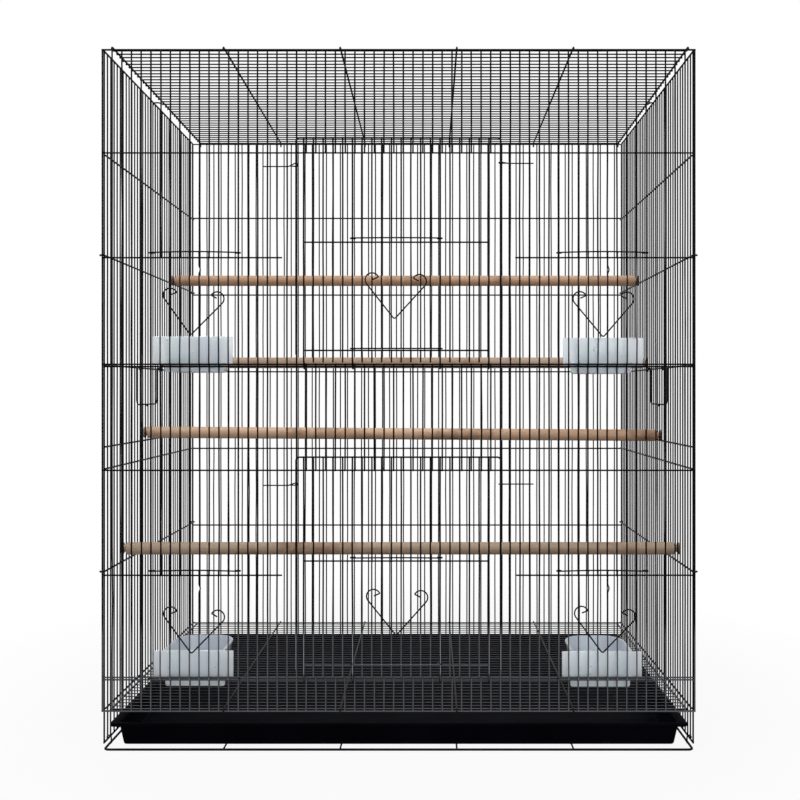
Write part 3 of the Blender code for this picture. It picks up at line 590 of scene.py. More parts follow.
def perch_wood(number, tint):
    """Plain turned wood with its grain along X and soft stains."""
    wood = new_material(f"perch_wood_{number}", WOOD_BROWN, 0.62)
    shader = shader_of(wood)
    figure = object_noise(wood, 26, 6, 0.62, (0.06, 1, 1))
    stops = [(place, [a * b for a, b in zip(shade, tint)]) for place, shade in WOOD_SHADES]
    stain = map_range(wood, object_noise(wood, 15, 4, 0.6, (0.8, 1, 1)), WOOD_STAIN_RANGE)
    colour = mix_colours(wood, stain, colour_ramp(wood, figure, stops), WOOD_STAIN)
    join(wood, colour, shader.inputs["Base Color"])
    fibre = object_noise(wood, 520, 5, 0.7, (0.03, 1, 1))
    join(wood, map_range(wood, fibre, target=(0.50, 0.75)), shader.inputs["Roughness"])
    shader.inputs["Specular IOR Level"].default_value = WOOD_GLOSS
    bump(wood, fibre, 0.35, 0.0003)
    return wood


WIRE_COAT = powder_coat("wire_coat")
# Coat with a painted highlight that greys the front faces of the low wires
LOW_PAINTED_HIGHLIGHT_COAT = powder_coat("low_dust_wire_coat", LOW_PAINTED_HIGHLIGHT)
# Coat with a painted highlight that lightens the tops of the floor grate's wires
TOP_PAINTED_HIGHLIGHT_COAT = powder_coat("top_dust_wire_coat", TOP_PAINTED_HIGHLIGHT)
TRAY_PLASTIC = tray_plastic()
CUP_PLASTIC = cup_plastic()
PERCH_WOODS = [perch_wood(i + 1, tint) for i, tint in enumerate(PERCH_TINTS)]


# Panels of uprights and rails

def front_place(u, depth, z):
    return Vector((u, FRONT_Y + depth, z))


def back_place(u, depth, z):
    return Vector((u, BACK_Y - depth, z))


def side_place(side):
    return lambda u, depth, z: Vector((side * (SIDE_X - depth), u, z))


def grille(shape, place, uprights, rails, chance, stray=WIRE_STRAY):
    """Uprights (u, low, high, radius, post) welded to rails (u0, u1, z, depth, radius)."""
    along = (place(1, 0, 0) - place(0, 0, 0)).normalized()
    inward = (place(0, 1, 0) - place(0, 0, 0)).normalized()
    for u, low, high, radius, post in uprights:
        most = 0 if post else STRAY_LIMIT * stray
        foot, head = [max(-most, min(most, chance.gauss(0, stray))) for _ in range(2)]
        ends = place(u + foot, 0, low), place(u + head, 0, high)
        shape.tube(wandering(*ends, along, chance, 0 if post else WIRE_STRAY), radius)
        for start, stop, z, depth, _ in rails:
            if low - WIRE_END <= z <= high + WIRE_END and start - WIRE_END <= u <= stop + WIRE_END:
                lean = (head - foot) * (z - low) / (high - low)
                shape.weld(place(u + foot + lean, depth / 2, z), inward)
    for start, stop, z, depth, radius in rails:
        sag = chance.uniform(-RAIL_SAG, RAIL_SAG)
        middle = place((start + stop) / 2, depth, z + sag)
        shape.tube([place(start, depth, z), middle, place(stop, depth, z)], radius)


def columns():
    """The front panel's uprights, as distances from the middle in pitches."""
    half = (FRONT_GAPS + 1) // 2
    return [k + 0.5 for k in range(-half, half)]


def is_post(column):
    guides = (FEEDER_COLUMN - FEEDER_GAPS / 2, FEEDER_COLUMN + FEEDER_GAPS / 2)
    return abs(column) in (FRONT_GAPS / 2, DOOR_GAPS / 2) + guides


def front_spans(column):
    """Heights between which an upright of the front panel runs."""
    top = SILL_TWIN_RISE + WIRE_END
    if abs(column) < DOOR_GAPS / 2:
        return [
            (FOOT_RAIL_Z, LOWER_SILL_Z + top),
            (LOWER_LINTEL_Z - WIRE_END, UPPER_SILL_Z + top),
            (UPPER_LINTEL_Z - WIRE_END, TOP_Z),
        ]
    if abs(abs(column) - FEEDER_COLUMN) < FEEDER_GAPS / 2:
        return [
            (FOOT_RAIL_Z, LOWER_SILL_Z + top),
            (LOWER_FEEDER_TOP_Z - WIRE_END, UPPER_SILL_Z + top),
            (UPPER_FEEDER_TOP_Z - WIRE_END, TOP_Z),
        ]
    return [(FOOT_RAIL_Z, TOP_Z)]


def make_front_panel():
    chance = random.Random(11)
    shape = Shape()
    uprights = []
    for column in columns():
        post = is_post(column)
        for low, high in front_spans(column):
            uprights.append((column * PITCH, low, high, POST if post else BAR, post))
    end = FRONT_EDGE_X + POST
    reach = FRONT_EDGE_X + WIRE_END
    rails = [(-end, end, z, 0, RAIL) for z in (FOOT_RAIL_Z, TOP_Z)]
    levels = [LOWER_LINTEL_Z, UPPER_LINTEL_Z]
    for sill in (LOWER_SILL_Z, UPPER_SILL_Z):
        levels += [sill, sill + SILL_TWIN_RISE]
    rails += [(-reach, reach, z, LAYER, CROSS) for z in levels]
    for z in (LOWER_FEEDER_TOP_Z, UPPER_FEEDER_TOP_Z):
        rails.append((-reach, -FEEDER_RAIL_REACH, z, LAYER, CROSS))
        rails.append((FEEDER_RAIL_REACH, reach, z, LAYER, CROSS))
    grille(shape, front_place, uprights, rails, chance)
    shape.piece("front_panel_wires", "cage", "front_panel", LOW_PAINTED_HIGHLIGHT_COAT)


def make_back_panel():
    chance = random.Random(12)
    shape = Shape()
    uprights = []
    for column in columns():
        post = abs(column) in (DOOR_GAPS / 2, FRONT_GAPS / 2)
        uprights.append((column * PITCH, GROUND_RAIL_Z, TOP_Z, POST if post else BAR, post))
    end = FRONT_EDGE_X + POST
    reach = FRONT_EDGE_X + WIRE_END
    rails = [(-end, end, z, 0, BACK_RAIL) for z in (GROUND_RAIL_Z, TOP_Z)]
    rails += [(-reach, reach, z, LAYER, BACK_CROSS) for z in BACK_RAILS]
    grille(shape, back_place, uprights, rails, chance)
    shape.piece("back_panel_wires", "cage", "back_panel", WIRE_COAT)


def side_bar_y(index):
    return FRONT_Y + CORNER_SETBACK + index * SIDE_PITCH


def corner_hook(y, facing):
    """Half turn of a side rail round a corner post: (x, y) pairs, the tip last."""
    turn = arc(CORNER_TURN, 180, 0, 10) + [(CORNER_TURN, -CORNER_TURN / 2)]
    return [(FRONT_EDGE_X + a, y + facing * b) for a, b in turn]


def make_side_panel(name, side, seed):
    chance = random.Random(seed)
    shape = Shape()
    posts = (0, SIDE_GAPS // 2, SIDE_GAPS)
    uprights = []
    for index in range(SIDE_GAPS + 1):
        post = index in posts
        radius = POST if post else FINE_BAR
        uprights.append((side_bar_y(index), GROUND_RAIL_Z, TOP_Z, radius, post))
    first, last = side_bar_y(0), side_bar_y(SIDE_GAPS)
    rails = [(first - POST, last + POST, z, 0, RAIL) for z in (GROUND_RAIL_Z, TOP_Z)]
    for z in SIDE_PLAIN_RAILS + SIDE_HOOKED_RAILS:
        rails.append((first - WIRE_END, last + WIRE_END, z, LAYER, SIDE_CROSS))
    place = side_place(side)
    grille(shape, place, uprights, rails[:-2], chance, SIDE_STRAY)
    for _, _, z, depth, _ in rails[-2:]:
        front = corner_hook(FRONT_Y, -1)[::-1]
        back = corner_hook(BACK_Y, 1)
        shape.tube([(side * x, y, z) for x, y in front + back], SIDE_CROSS)
        for u, *_ in uprights:
            shape.weld(place(u, depth / 2, z), side * ALONG_X)
    shape.piece(f"{name}_wires", "cage", name, WIRE_COAT)


# Roof and floor grids

def over_hook(turn_radius, rail_y, rail_z, facing, tip):
    """End of a cross wire that goes over a rail: (y, z) pairs, the tip first."""
    turn = [(turn_radius, -tip)] + arc(turn_radius, 0, 90, 8)
    return [(rail_y + facing * a, rail_z + b) for a, b in turn]


def make_grid(name, front_rail, back_rail, hooked, bar_radius, coat, seed):
    """Bars left to right, two edge wires, and cross wires that hook over the panels."""
    insets = ROOF_EDGE_INSETS if hooked else GRATE_EDGE_INSETS

    def edge(side, y):
        front, back = insets[side]
        return SIDE_X - front + (front - back) * (y - FRONT_Y) / (BACK_Y - FRONT_Y)

    chance = random.Random(seed)
    shape = Shape()
    cross_z = front_rail[2] + front_rail[0]
    bar_z = cross_z - LAYER
    posts = (0, SIDE_GAPS // 2, SIDE_GAPS)
    for index in range(SIDE_GAPS + 1):
        post = index in posts
        radius = POST if post else bar_radius
        y = side_bar_y(index) + (0 if post else chance.gauss(0, WIRE_STRAY))
        if hooked and index == SIDE_GAPS // 2:
            over = [(SIDE_X + a, TOP_Z + b) for a, b in arc(ROOF_HOOK_TURN, 90, 0, 8)]
            over.append((SIDE_X + ROOF_HOOK_TURN, TOP_Z - ROOF_HOOK_TURN / 2))
            route = []
            for side in (-1, 1):
                foot = edge(side, y) + RAIL
                rise = [(foot, bar_z), ((foot + SIDE_X) / 2, over[0][1])]
                half = [(side * x, y, z) for x, z in rise + over]
                route = half[::-1] if side < 0 else route + half
            shape.tube(bend(route, ROOF_HOOK_BEND), radius)
        else:
            beyond = WIRE_END if post else 0
            ends = [(side * (edge(side, y) + beyond), y, bar_z) for side in (-1, 1)]
            shape.tube(wandering(*ends, ALONG_Y, chance, GRID_STRAY), radius)
        for column in GRID_CROSS_COLUMNS:
            shape.weld(Vector((column * PITCH, y, bar_z + LAYER / 2)), ALONG_Z)
        for side in (-1, 1):
            shape.weld(Vector((side * edge(side, y), y, bar_z)), ALONG_X, GRID_WELD)
    if not hooked:
        first, last = side_bar_y(0) - POST, side_bar_y(SIDE_GAPS) + POST
        for side in (-1, 1):
            shape.tube([(side * edge(side, y), y, bar_z) for y in (first, 0, last)], RAIL)
    shape.piece(f"{name}_wires", "cage", name, coat)
    shape = Shape()
    crossings = [(column * PITCH, column * PITCH) for column in GRID_CROSS_COLUMNS]
    if hooked:
        crossings += [(side * edge(side, FRONT_Y), side * edge(side, BACK_Y)) for side in (-1, 1)]
    for front_x, back_x in crossings:
        front = over_hook(*front_rail, -1, front_rail[0] / 2)
        back = over_hook(*back_rail, 1, ROOF_TIP if hooked else back_rail[0] / 2)
        route = [(front_x, y, z) for y, z in front] + [(back_x, y, z) for y, z in back[::-1]]
        shape.tube(route, ROOF_CROSS if hooked else CROSS)
    shape.piece(f"{name}_cross_wires", "cage", name, WIRE_COAT)


# Base frame

def make_base_frame():
    shape = Shape()
    x, front, back = SIDE_X - BASE_WIRE, FRONT_Y, BACK_Y
    z = BASE_WIRE
    corners = [(x, back, z), (-x, back, z), (-x, front, z), (x, front, z)]
    ring = []
    for i, corner in enumerate(corners):
        ring += fillet(corner, corners[i - 1], corners[(i + 1) % 4], BASE_CORNER, 6)
    seam = Vector((x, (front + back) / 2, z))
    shape.tube([seam] + ring + [seam], BASE_WIRE, 12)
    shape.weld(seam, ALONG_Y, BASE_SEAM_BEAD)
    for column in GRID_CROSS_COLUMNS:
        u, high = column * PITCH, BASE_TOP - POST
        shape.tube([(u, front, high), (u, 0, high), (u, back, high)], POST)
        for y in (front, back):
            shape.weld(Vector((u, y, high)), ALONG_Y, BASE_BEAD)
    for side in (-1, 1):
        for gap in BASE_HOOK_GAPS:
            y = side_bar_y(gap)
            turn = arc(BASE_HOOK_TURN, 180, -20, 12)
            over = [(side * (SIDE_X + a), y, GROUND_RAIL_Z + b) for a, b in turn]
            foot = (side * (SIDE_X - BASE_HOOK_TURN), y, BASE_WIRE)
            shape.tube([foot] + over, SMALL_WIRE)
            shape.weld(Vector(foot), ALONG_Z, BASE_BEAD)
    shape.piece("base_frame_wires", "cage", "base_frame", WIRE_COAT)


# Big doors

def door_x(column):
    return column * PITCH - DOOR_SHIFT


def hinge_hook(x, sill):
    """Curl of a door wire round both sill rails: points from its tip upwards."""
    middle = sill + SILL_TWIN_RISE / 2
    turn = [(x, HINGE_Y + a, middle + b) for a, b in arc(HINGE_TURN, *HINGE_CURL, 16)]
    knee = (x, DOOR_Y, sill + DOOR_HOOK_RISE)
    rise = [turn[-1], knee, (x, DOOR_Y, sill + 2 * DOOR_HOOK_RISE)]
    return turn[:-1] + bend(rise, HINGE_BEND)


def hatch_heights(sill, lintel):
    return sill + HATCH_SILL_RISE, lintel - HATCH_TOP_DROP


def make_big_door(name, sill, lintel, seed):
    chance = random.Random(seed)
    shape = Shape()
    top, low = lintel + DOOR_LAP, sill + DOOR_BAR_FOOT
    hatch_sill, hatch_top = levels = hatch_heights(sill, lintel)
    side, foot = DOOR_SIDE_X, sill + DOOR_SIDE_FOOT
    left, right = (-side, DOOR_Y, top), (side, DOOR_Y, top)
    low_left, low_right = (-side, DOOR_Y, foot), (side, DOOR_Y, foot)
    route = [low_left] + fillet(left, low_left, right, DOOR_CORNER)
    route += fillet(right, left, low_right, DOOR_CORNER) + [low_right]
    shape.tube(route, DOOR_FRAME, 10)

    def bar(x, ends, radius, foot=()):
        start, stop = [Vector((x, DOOR_Y, z)) for z in ends]
        start = foot[-1] if foot else start
        line = wandering(start, stop, ALONG_X, chance, DOOR_STRAY)
        shape.tube(list(foot[:-1]) + line, radius)

    for column in [k - DOOR_BAR_GAPS / 2 for k in range(DOOR_BAR_GAPS + 1)]:
        x = door_x(column)
        if abs(column) in (FEEDER_GAPS / 2, DOOR_BAR_GAPS / 2):
            bar(x, (low, top), DOOR_FRAME, hinge_hook(x, sill))
        elif abs(column) > FEEDER_GAPS / 2:
            bar(x, (low, top), BAR)
        else:
            bar(x, (low, hatch_sill + WIRE_END), BAR)
            bar(x, (hatch_top - WIRE_END, top), BAR)
        shape.weld(Vector((x, DOOR_Y, top)), ALONG_Z, DOOR_WELD)
        for z in levels:
            shape.weld(Vector((x, DOOR_Y + LAYER / 2, z)), ALONG_Y)
    start = door_x(-DOOR_BAR_GAPS / 2) - WIRE_END
    stop = door_x(DOOR_BAR_GAPS / 2) + WIRE_END
    for z in levels:
        y = DOOR_Y + LAYER
        shape.tube([(start, y, z), (0, y, z), (stop, y, z)], CROSS)
    shape.piece(f"{name}_wires", name, name, LOW_PAINTED_HIGHLIGHT_COAT)


# Small sliding doors and their pulls

def guide_hook(x, side, plane_y):
    """End of a small door's rail, round its guide and back behind it."""
    turn = [(x + side * a, plane_y + b) for a, b in arc(GUIDE_TURN, -90, 90, 12)]
    return turn + [(x - side * SMALL_HOOK_RETURN, plane_y + GUIDE_TURN)]


def guide_elbow(x, side, plane_y):
    """Short end of a rail that has the sill rails behind it."""
    return [(x + side * a, plane_y + b) for a, b in arc(GUIDE_TURN, -90, -20, 6)]


def make_small_door(name, centre, low, high, plane_y, low_end, top_bow, seed):
    """Upright wires between two rails that turn round the guides."""
    chance = random.Random(seed)
    shape = Shape()
    half = FEEDER_GAPS / 2 * PITCH
    y = plane_y - GUIDE_TURN
    kinked = FEEDER_GAPS // 2 + 1
    for k in range(1, FEEDER_GAPS):
        x = centre - half + k * PITCH
        route = wandering((x, y, low), (x, y, high), ALONG_X, chance, SMALL_STRAY)
        if k == kinked and abs(centre) > half:
            middle = high - KINK_DROP
            waves = [(KINK_SIZE * math.sin(math.pi * t) ** 2, middle + KINK_LENGTH * (t - 0.5))
                     for t in [i / 8 for i in range(9)]]
            route = [Vector((x, y, low))] + [Vector((x + a, y, z)) for a, z in waves]
            route.append(Vector((x, y, high)))
        shape.tube(route, SMALL_WIRE)
        for z in (low, high):
            shape.weld(Vector((x, y, z)), ALONG_Z, SMALL_WELD)
    for z, bow, turn in ((low, 0, low_end), (high, top_bow, guide_hook)):
        left = [(px, py, z) for px, py in reversed(turn(centre - half, -1, plane_y))]
        right = [(px, py, z) for px, py in turn(centre + half, 1, plane_y)]
        rise = []
        for i in range(1, 8):
            t = i / 8
            rise.append((centre + half * (2 * t - 1), y, z + bow * math.sin(math.pi * t)))
        shape.tube(left + rise + right, SMALL_WIRE)
    shape.piece(f"{name}_wires", name, name, LOW_PAINTED_HIGHLIGHT_COAT)


def heart_half():
    """Right half of a pull in its own plane, from its lowest point to its inner end."""
    centre = Vector(HEART_LOBE)
    swing = math.degrees(math.asin(HEART_LOBE_RADIUS / centre.length))
    start = math.degrees(math.atan2(centre.y, centre.x)) - swing - 90
    lobe = [centre + Vector(p) for p in arc(HEART_LOBE_RADIUS, start, HEART_LOBE_END, 20)]
    end = bend([lobe[-2], lobe[-1], centre + Vector(HEART_TIP)], HEART_TIP_BEND)
    return lobe[:-2] + end


def make_pull(name, body, tilt, slide, drop):
    """Heart of wire, tilted in degrees, slid to the right and lowered."""
    low, high = (Vector(corner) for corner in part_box(name))
    x, y = (low.x + high.x) / 2 + slide, (low.y + high.y) / 2
    z = low.z + SMALL_WIRE - drop
    right = heart_half()
    left = [Vector((-p.x, p.y)) for p in right]
    point = bend([left[0], Vector((0, 0)), right[0]], HEART_POINT_BEND, 6)[1:-1]
    turn = Matrix.Rotation(math.radians(tilt), 2)
    spots = [turn @ p for p in left[::-1] + point + right]
    shape = Shape()
    shape.tube([(x + p.x, y, z + p.y) for p in spots], SMALL_WIRE, 10)
    shape.piece(f"{name}_wire", body, name, WIRE_COAT)


# Latches

def make_latch(name, side, hinge):
    """Eye round a door's side wire, with a tail across the panel's bars."""
    low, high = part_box(name)
    rise = FRONT_Y - POST - LATCH_WIRE - LATCH_CLEARANCE - hinge[1]
    run = math.sqrt(LATCH_LOOP_LENGTH ** 2 - rise ** 2)
    towards = math.degrees(math.atan2(rise, run))
    spread = math.degrees(math.acos(LATCH_TURN / LATCH_LOOP_LENGTH))
    turn = arc(LATCH_TURN, towards - spread, towards + spread - 360, 20)
    tail = high[0] - low[0] - LATCH_TURN - 2 * LATCH_WIRE
    outline = bend([(tail, rise, 0), (run, rise, 0), (*turn[0], 0)], LATCH_BEND)[:-1]
    outline += [Vector((a, b, 0)) for a, b in turn]
    outline.append(Vector((run - LATCH_WIRE, rise - LATCH_WIRE, 0)))
    lean = Matrix.Rotation(math.radians(LATCH_LEANS[side]), 3, "X")
    middle = Vector(hinge) + ALONG_Z * LATCH_LIFTS.get(name, 0)
    shape = Shape()
    shape.tube([middle + lean @ Vector((side * p.x, p.y, p.z)) for p in outline], LATCH_WIRE, 8)
    shape.piece(f"{name}_wire", name, name, WIRE_COAT)


# Carrying bails

def make_bail(name, side):
    """Wire handle with an open eye round the side panel's rail at each end."""
    z, middle = BAIL_HINGE[2], BAIL_HINGE[1]
    front, back = middle - BAIL_SPAN / 2, middle + BAIL_SPAN / 2
    low = z - BAIL_DROP
    x = SIDE_RAIL_X + BAIL_OUT

    def eye(y):
        turn = [(SIDE_RAIL_X + a, z + b) for a, b in arc(BAIL_TURN, *BAIL_CURL, 16)]
        leg = [turn[-1], (x, z + BAIL_SHOULDER), (x, z - BAIL_TURN - BAIL_LEG)]
        leg = [(p[0], p[2]) for p in bend([(a, 0, b) for a, b in leg], BAIL_BEND)]
        return [(px, y, pz) for px, pz in turn[:-1] + leg]

    kink = [(x, middle + k * BAIL_KINK, low if k else low - BAIL_KINK) for k in range(-2, 3)]
    points = eye(front)
    points += fillet((x, front, low), (x, front, z), (x, middle, low), BAIL_CORNER)
    points += bend(kink, BAIL_BEND)
    points += fillet((x, back, low), (x, middle, low), (x, back, z), BAIL_CORNER)
    points += eye(back)[::-1]
    shape = Shape()
    shape.tube([(side * p[0], p[1], p[2]) for p in points], BAIL_WIRE, 10)
    shape.piece(f"{name}_wire", name, name, WIRE_COAT)


# Litter tray

def rounded_rectangle(half_x, half_y, radius, steps):
    outline = []
    corners = ((1, 1, 0), (-1, 1, 90), (-1, -1, 180), (1, -1, 270))
    for sx, sy, start in corners:
        for a, b in arc(radius, start, start + 90, steps):
            outline.append((sx * (half_x - radius) + a, sy * (half_y - radius) + b))
    return outline


def make_tray():
    """Tray whose skin is lofted up its outside, over its lip and down its inside."""
    low, high = (Vector(corner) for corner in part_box("litter_tray"))
    middle, bottom, top = (low + high) / 2, low.z, high.z
    side, end, wall, lip = TRAY_SIDE_OVERHANG, TRAY_END_OVERHANG, TRAY_WALL, TRAY_LIP_WALL
    low_side, low_end = side + TRAY_SIDE_DRAFT, end + TRAY_END_DRAFT
    shelf, hem = top - wall, top - TRAY_LIP

    def level(inset, z, across=0.0, along=0.0):
        """Plan at a height, drawn in all round, and further from the sides and the ends."""
        half_x, half_y = (high.x - low.x) / 2 - across, (high.y - low.y) / 2 - along
        plan = rounded_rectangle(half_x - inset, half_y - inset, TRAY_CORNER - inset / 2, 10)
        return [(middle.x + x, middle.y + y, z) for x, y in plan]

    foot, neck = (low_side, low_end), (side, end)
    outside = [
        level(0.0020, bottom, *foot), level(0.0006, bottom + 0.0004, *foot),
        level(0, bottom + 0.0016, *foot), level(0, shelf - 0.0010, *neck),
        level(-0.0003, shelf - 0.0002, *neck), level(-0.0008, shelf, *neck),
        level(lip + 0.0004, shelf), level(lip, shelf - 0.0003), level(lip, hem + 0.0002),
        level(lip - 0.0003, hem), level(0.0004, hem), level(0, hem + 0.0004),
        level(0, top - 0.0012), level(0.0003, top - 0.0004), level(0.0012, top),
    ]
    inside = [
        level(wall - 0.0012, top, *neck), level(wall - 0.0003, top - 0.0004, *neck),
        level(wall, top - 0.0014, *neck), level(wall - 0.0006, bottom + wall + 0.0030, *foot),
        level(wall + 0.0006, bottom + wall + 0.0008, *foot),
        level(wall + 0.0026, bottom + wall, *foot),
    ]
    shape = Shape()
    shape.loft(outside + inside)
    shape.piece("litter_tray_shell", "tray", "litter_tray", TRAY_PLASTIC, 60)


# Feeding cups

def cup_plan(half, front, back, radius):
    """Counter-clockwise plan with round back corners."""
    plan = []
    tight = CUP_FRONT_CORNER
    corners = (
        (half - radius, back - radius, radius, 0, 8),
        (-half + radius, back - radius, radius, 90, 8),
        (-half + tight, front + tight, tight, 180, 3),
        (half - tight, front + tight, tight, 270, 3),
    )
    for x, y, turn, start, steps in corners:
        plan += [(x + a, y + b) for a, b in arc(turn, start, start + 90, steps)]
    return plan


def hung_plate(shape, centre, sill, y, shift):
    """Flat plate with a wing on each side above the sill rails, its edges softened."""
    low, high = sill - CUP_DROP, sill - CUP_DROP + CUP_HEIGHT
    wing, body = CUP_PLATE_WIDTH / 2, CUP_BODY_WIDTH / 2
    shelf = sill + CUP_WING_RISE

    def outline(inset):
        w, b = wing - inset, body - inset
        corners = [
            (-w, shelf + inset, CUP_WING_LOW_CORNER), (shift - b, shelf + inset, 0),
            (shift - b, low + inset, CUP_TONGUE_CORNER),
            (shift + b, low + inset, CUP_TONGUE_CORNER),
            (shift + b, shelf + inset, 0), (w, shelf + inset, CUP_WING_LOW_CORNER),
            (w, high - inset, CUP_WING_TOP_CORNER), (-w, high - inset, CUP_WING_TOP_CORNER),
        ]
        route = []
        for i, (x, z, radius) in enumerate(corners):
            if radius:
                next_to = corners[i - 1], corners[(i + 1) % len(corners)]
                route += fillet((x, 0, z), *[(px, 0, pz) for px, pz, _ in next_to], radius, 4)
            else:
                route.append(Vector((x, 0, z)))
        return [(centre + p.x, p.z) for p in route]

    soft = CUP_SOFT_EDGE
    rings = []
    for inset, depth in ((soft, 0), (0, soft), (0, CUP_WALL - soft), (soft, CUP_WALL)):
        rings.append([(x, y + depth, z) for x, z in outline(inset)])
    shape.loft(rings)


def make_cup(name, centre, rail_z, slide, drop):
    """Tapered cup and its plate, slid and dropped, with two lugs over the twin rails."""
    plate = HINGE_Y + CUP_SEAT
    wall, middle = CUP_WALL, centre + slide
    sill = rail_z - drop
    bottom, top = sill - CUP_DROP, sill - CUP_DROP + CUP_HEIGHT
    half, front = CUP_BODY_WIDTH / 2, plate + wall / 2
    back = front + CUP_DEPTH
    shape = Shape()

    def level(inset, z, inner=0.0):
        """Plan at a height, drawn in at the sides and back, and at the front by inner."""
        lean = CUP_DRAFT * (top - z) / (top - bottom)
        side = half - lean - inset
        plan = cup_plan(side, front + inner, back - lean - inset, CUP_CORNER - inset)
        return [(middle + x, y, z) for x, y in plan]

    outside = [
        level(0.0022, bottom), level(0.0007, bottom + 0.0005), level(0, bottom + 0.0022),
        level(0, top - 0.0045), level(-0.0012, top - 0.0034), level(-0.0015, top - 0.0026),
        level(-0.0015, top - 0.0006), level(-0.0010, top),
    ]
    inside = [
        level(wall - 0.0005, top, wall), level(wall, top - 0.0006, wall),
        level(wall, bottom + wall + 0.0030, wall),
        level(wall + 0.0010, bottom + wall + 0.0008, wall),
        level(wall + 0.0032, bottom + wall, wall + 0.0024),
    ]
    shape.loft(outside + inside)
    hung_plate(shape, middle, sill, plate, math.copysign(CUP_TONGUE_SHIFT, -centre))
    shelf = rail_z + SILL_TWIN_RISE + CUP_SEAT
    for side in (-1, 1):
        x = centre + side * CUP_LUG_COLUMN * PITCH
        profile = [
            (front, shelf), (front, shelf + CUP_LUG_HEIGHT), (HINGE_Y, shelf + CUP_LUG_HEIGHT),
            (HINGE_Y - CUP_SOFT_EDGE, shelf + CUP_SOFT_EDGE), (HINGE_Y, shelf),
        ]
        ends = [[(x + end * CUP_LUG_WIDTH / 2, y, z) for y, z in profile] for end in (1, -1)]
        shape.loft(ends)
    shape.piece(f"{name}_shell", name, name, CUP_PLASTIC, 50)


# Perches

def make_perch(number):
    """Turned dowel with a groove near each end, which grips two side wires."""
    name = f"perch_{number}"
    low, high = (Vector(corner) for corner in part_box(name))
    centre, radius = (low + high) / 2, PERCH_RADIUS
    core = SIDE_PITCH / 2 - PERCH_CORE_GAP
    outer = SIDE_X + PERCH_COLLAR
    inner, end = outer - PERCH_GROOVE, high.x
    half = [
        (inner - 0.09, radius), (inner - 0.0016, radius), (inner - 0.0007, radius * 0.985),
        (inner - 0.0002, radius * 0.94), (inner, core + 0.0006), (inner + 0.0006, core),
        (outer - 0.0004, core), (outer, core + 0.0004), (outer, radius * 0.96),
        (outer + 0.0004, radius), (end - 0.0011, radius), (end - 0.0003, radius - 0.0004),
        (end, radius - 0.0012),
    ]
    middle = [(x, radius) for x in (-0.18, -0.06, 0.06, 0.18)]
    profile = [(-x, r) for x, r in reversed(half)] + middle + half
    lean = Matrix.Rotation(math.radians(PERCH_TILTS.get(number, 0)), 3, "Y")
    shape = Shape()
    rings = []
    for x, r in profile:
        rings.append(shape.ring(centre + lean @ Vector((x, 0, 0)), ALONG_Y, lean @ ALONG_Z, r, 32))
    shape.skin(rings)
    shape.piece(f"{name}_dowel", "cage", name, PERCH_WOODS[number - 1], 50)


# The whole cage, with each storey's heights and latch, each cup's slide to the right and
# drop, and each heart's tilt, slide and drop

STOREYS = (
    ("upper", UPPER_SILL_Z, UPPER_FEEDER_TOP_Z, UPPER_LINTEL_Z, UPPER_LATCH),
    ("lower", LOWER_SILL_Z, LOWER_FEEDER_TOP_Z, LOWER_LINTEL_Z, LOWER_LATCH),
)
CUP_SET = {
    "upper_left_cup": (-0.0035, -0.0006),
    "upper_right_cup": (0.0014, 0.0012),
    "lower_left_cup": (-0.0025, 0.0012),
    "lower_right_cup": (0.0, 0.0022),
}
HEART_SET = {
    "upper_left_feeder_handle": (-4.5, -0.004, 0.0014),
    "upper_right_feeder_handle": (-0.5, 0.0, 0.0040),
    "lower_left_feeder_handle": (-4.0, -0.003, 0.0060),
    "lower_right_feeder_handle": (-3.9, -0.001, 0.0053),
    "upper_hatch_handle": (-2.0, -0.0022, 0.0012),
    "lower_hatch_handle": (-1.5, 0.0, 0.0012),
}


def make_cage():
    make_front_panel()
    make_back_panel()
    make_side_panel("left_side_panel", -1, 13)
    make_side_panel("right_side_panel", 1, 14)
    top_front, top_back = (RAIL_TURN, FRONT_Y, TOP_Z), (RAIL_TURN, BACK_Y, TOP_Z)
    make_grid("roof_panel", top_front, top_back, True, FINE_BAR, WIRE_COAT, 15)
    foot_front = (RAIL_TURN, FRONT_Y, FOOT_RAIL_Z)
    foot_back = (BACK_FOOT_TURN, BACK_Y - LAYER, BACK_RAILS[0])
    make_grid("floor_grate", foot_front, foot_back, False, GRATE_BAR, TOP_PAINTED_HIGHLIGHT_COAT, 16)
    make_base_frame()
    make_tray()
    seed = 20
    for storey, sill, feeder_top, lintel, latch in STOREYS:
        make_big_door(f"{storey}_door", sill, lintel, seed)
        hatch_sill, hatch_top = hatch_heights(sill, lintel)
        hatch, low, high = f"{storey}_hatch", hatch_sill + HATCH_REST, hatch_top + HATCH_LAP
        make_small_door(hatch, door_x(0), low, high, DOOR_Y, guide_hook, HATCH_TOP_BOW, seed + 1)
        make_pull(f"{hatch}_handle", hatch, *HEART_SET[f"{hatch}_handle"])
        for side, word in ((-1, "left"), (1, "right")):
            make_latch(f"{storey}_{word}_latch", side, (side * latch[0], latch[1], latch[2]))
            centre = side * FEEDER_COLUMN * PITCH
            feeder, ends = f"{storey}_{word}_feeder_door", (guide_elbow, SMALL_TOP_BOW)
            low, high = sill + SILL_TWIN_RISE, feeder_top + SMALL_DOOR_LAP
            make_small_door(feeder, centre, low, high, FRONT_Y, *ends, seed + 3 + side)
            pull = f"{storey}_{word}_feeder_handle"
            make_pull(pull, feeder, *HEART_SET[pull])
            cup = f"{storey}_{word}_cup"
            make_cup(cup, centre, sill, *CUP_SET[cup])
        seed += 10
    make_bail("left_carry_handle", -1)
    make_bail("right_carry_handle", 1)
    for number in (1, 2, 3, 4):
        make_perch(number)


# Floor, light and camera

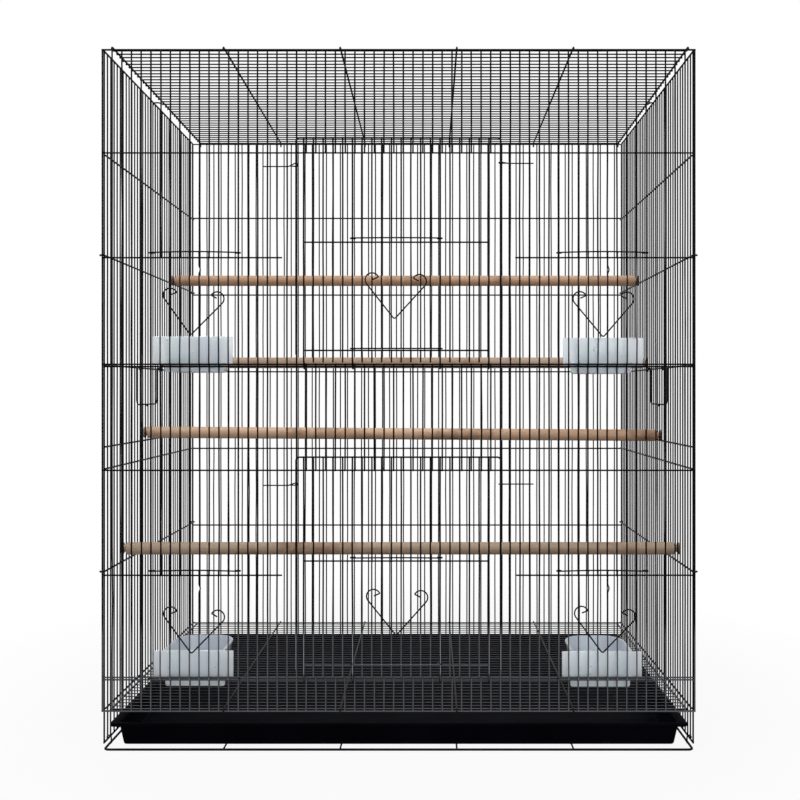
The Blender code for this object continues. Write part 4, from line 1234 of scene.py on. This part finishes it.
FLOOR_REACH = 6.0
FLOOR_GREY = (0.45, 0.45, 0.45)
FLOOR_WHITENING = (0.45, 0.85), (0.92, 1)
ROOM_LIGHT = 0.40
LAMP_AIM = (0, 0, 0.45)
CAMERA_PLACE = (0.0398, FRONT_Y - 1.190, 0.461)
CAMERA_SHIFT = (-0.0369, -0.0100)
LENS = 41.67
SENSOR = 36


def make_floor():
    """Floor that holds the shadow, and that the camera sees whiter away from the cage."""
    mesh = bpy.data.meshes.new("floor")
    r = FLOOR_REACH
    mesh.from_pydata([(-r, -r, 0), (r, -r, 0), (r, r, 0), (-r, r, 0)], [], [(0, 1, 2, 3)])
    floor = new_object("floor", mesh)
    material = new_material("floor_white", FLOOR_GREY, 0.9)
    shader_of(material).inputs["Specular IOR Level"].default_value = 0.0
    white = add_node(material, "ShaderNodeEmission", Color=(1, 1, 1, 1), Strength=1.0)
    place = add_node(material, "ShaderNodeTexCoord")
    distance = add_node(material, "ShaderNodeVectorMath", operation="LENGTH")
    join(material, place.outputs["Object"], distance.inputs[0])
    whiter = map_range(material, distance.outputs["Value"], *FLOOR_WHITENING)
    camera_ray = add_node(material, "ShaderNodeLightPath").outputs["Is Camera Ray"]
    seen = calculate(material, "MULTIPLY", whiter, camera_ray)
    mix = add_node(material, "ShaderNodeMixShader")
    join(material, seen, mix.inputs["Fac"])
    join(material, shader_of(material).outputs["BSDF"], mix.inputs[1])
    join(material, white.outputs["Emission"], mix.inputs[2])
    output = material.node_tree.nodes["Material Output"]
    join(material, mix.outputs["Shader"], output.inputs["Surface"])
    mesh.materials.append(material)


def make_world():
    """Pale room light; the camera, glossy and transmitted rays see plain white."""
    world = bpy.data.worlds.new("studio")
    bpy.context.scene.world = world
    world.use_nodes = True
    background = world.node_tree.nodes["Background"]
    background.inputs["Color"].default_value = (1, 1, 1, 1)
    light_path = add_node(world, "ShaderNodeLightPath")
    seen = light_path.outputs["Is Camera Ray"]
    for word in ("Is Transmission Ray", "Is Glossy Ray"):
        seen = calculate(world, "MAXIMUM", seen, light_path.outputs[word])
    strength = map_range(world, seen, target=(ROOM_LIGHT, 1))
    join(world, strength, background.inputs["Strength"])


def add_lamp(name, place, size, power):
    data = bpy.data.lights.new(name, "AREA")
    data.shape = "RECTANGLE"
    data.size = size[0]
    data.size_y = size[1]
    data.energy = power
    lamp = new_object(name, data)
    lamp.location = place
    lamp.rotation_euler = (Vector(LAMP_AIM) - Vector(place)).to_track_quat("-Z", "Y").to_euler()


def make_camera():
    data = bpy.data.cameras.new("camera")
    data.lens = LENS
    data.sensor_width = SENSOR
    data.shift_x, data.shift_y = CAMERA_SHIFT
    data.clip_start = 0.05
    camera = new_object("camera", data)
    camera.location = CAMERA_PLACE
    camera.rotation_euler = (math.radians(90), 0, 0)
    bpy.context.scene.camera = camera


make_camera()
make_cage()
make_floor()
make_world()
add_lamp("overhead", (-0.5, -0.6, 2.6), (2.2, 1.6), 52)
add_lamp("front_fill", (0.9, -2.3, 1.5), (1.4, 1.4), 20)
bpy.context.scene.view_settings.view_transform = "Standard"

bpy.context.view_layer.update()
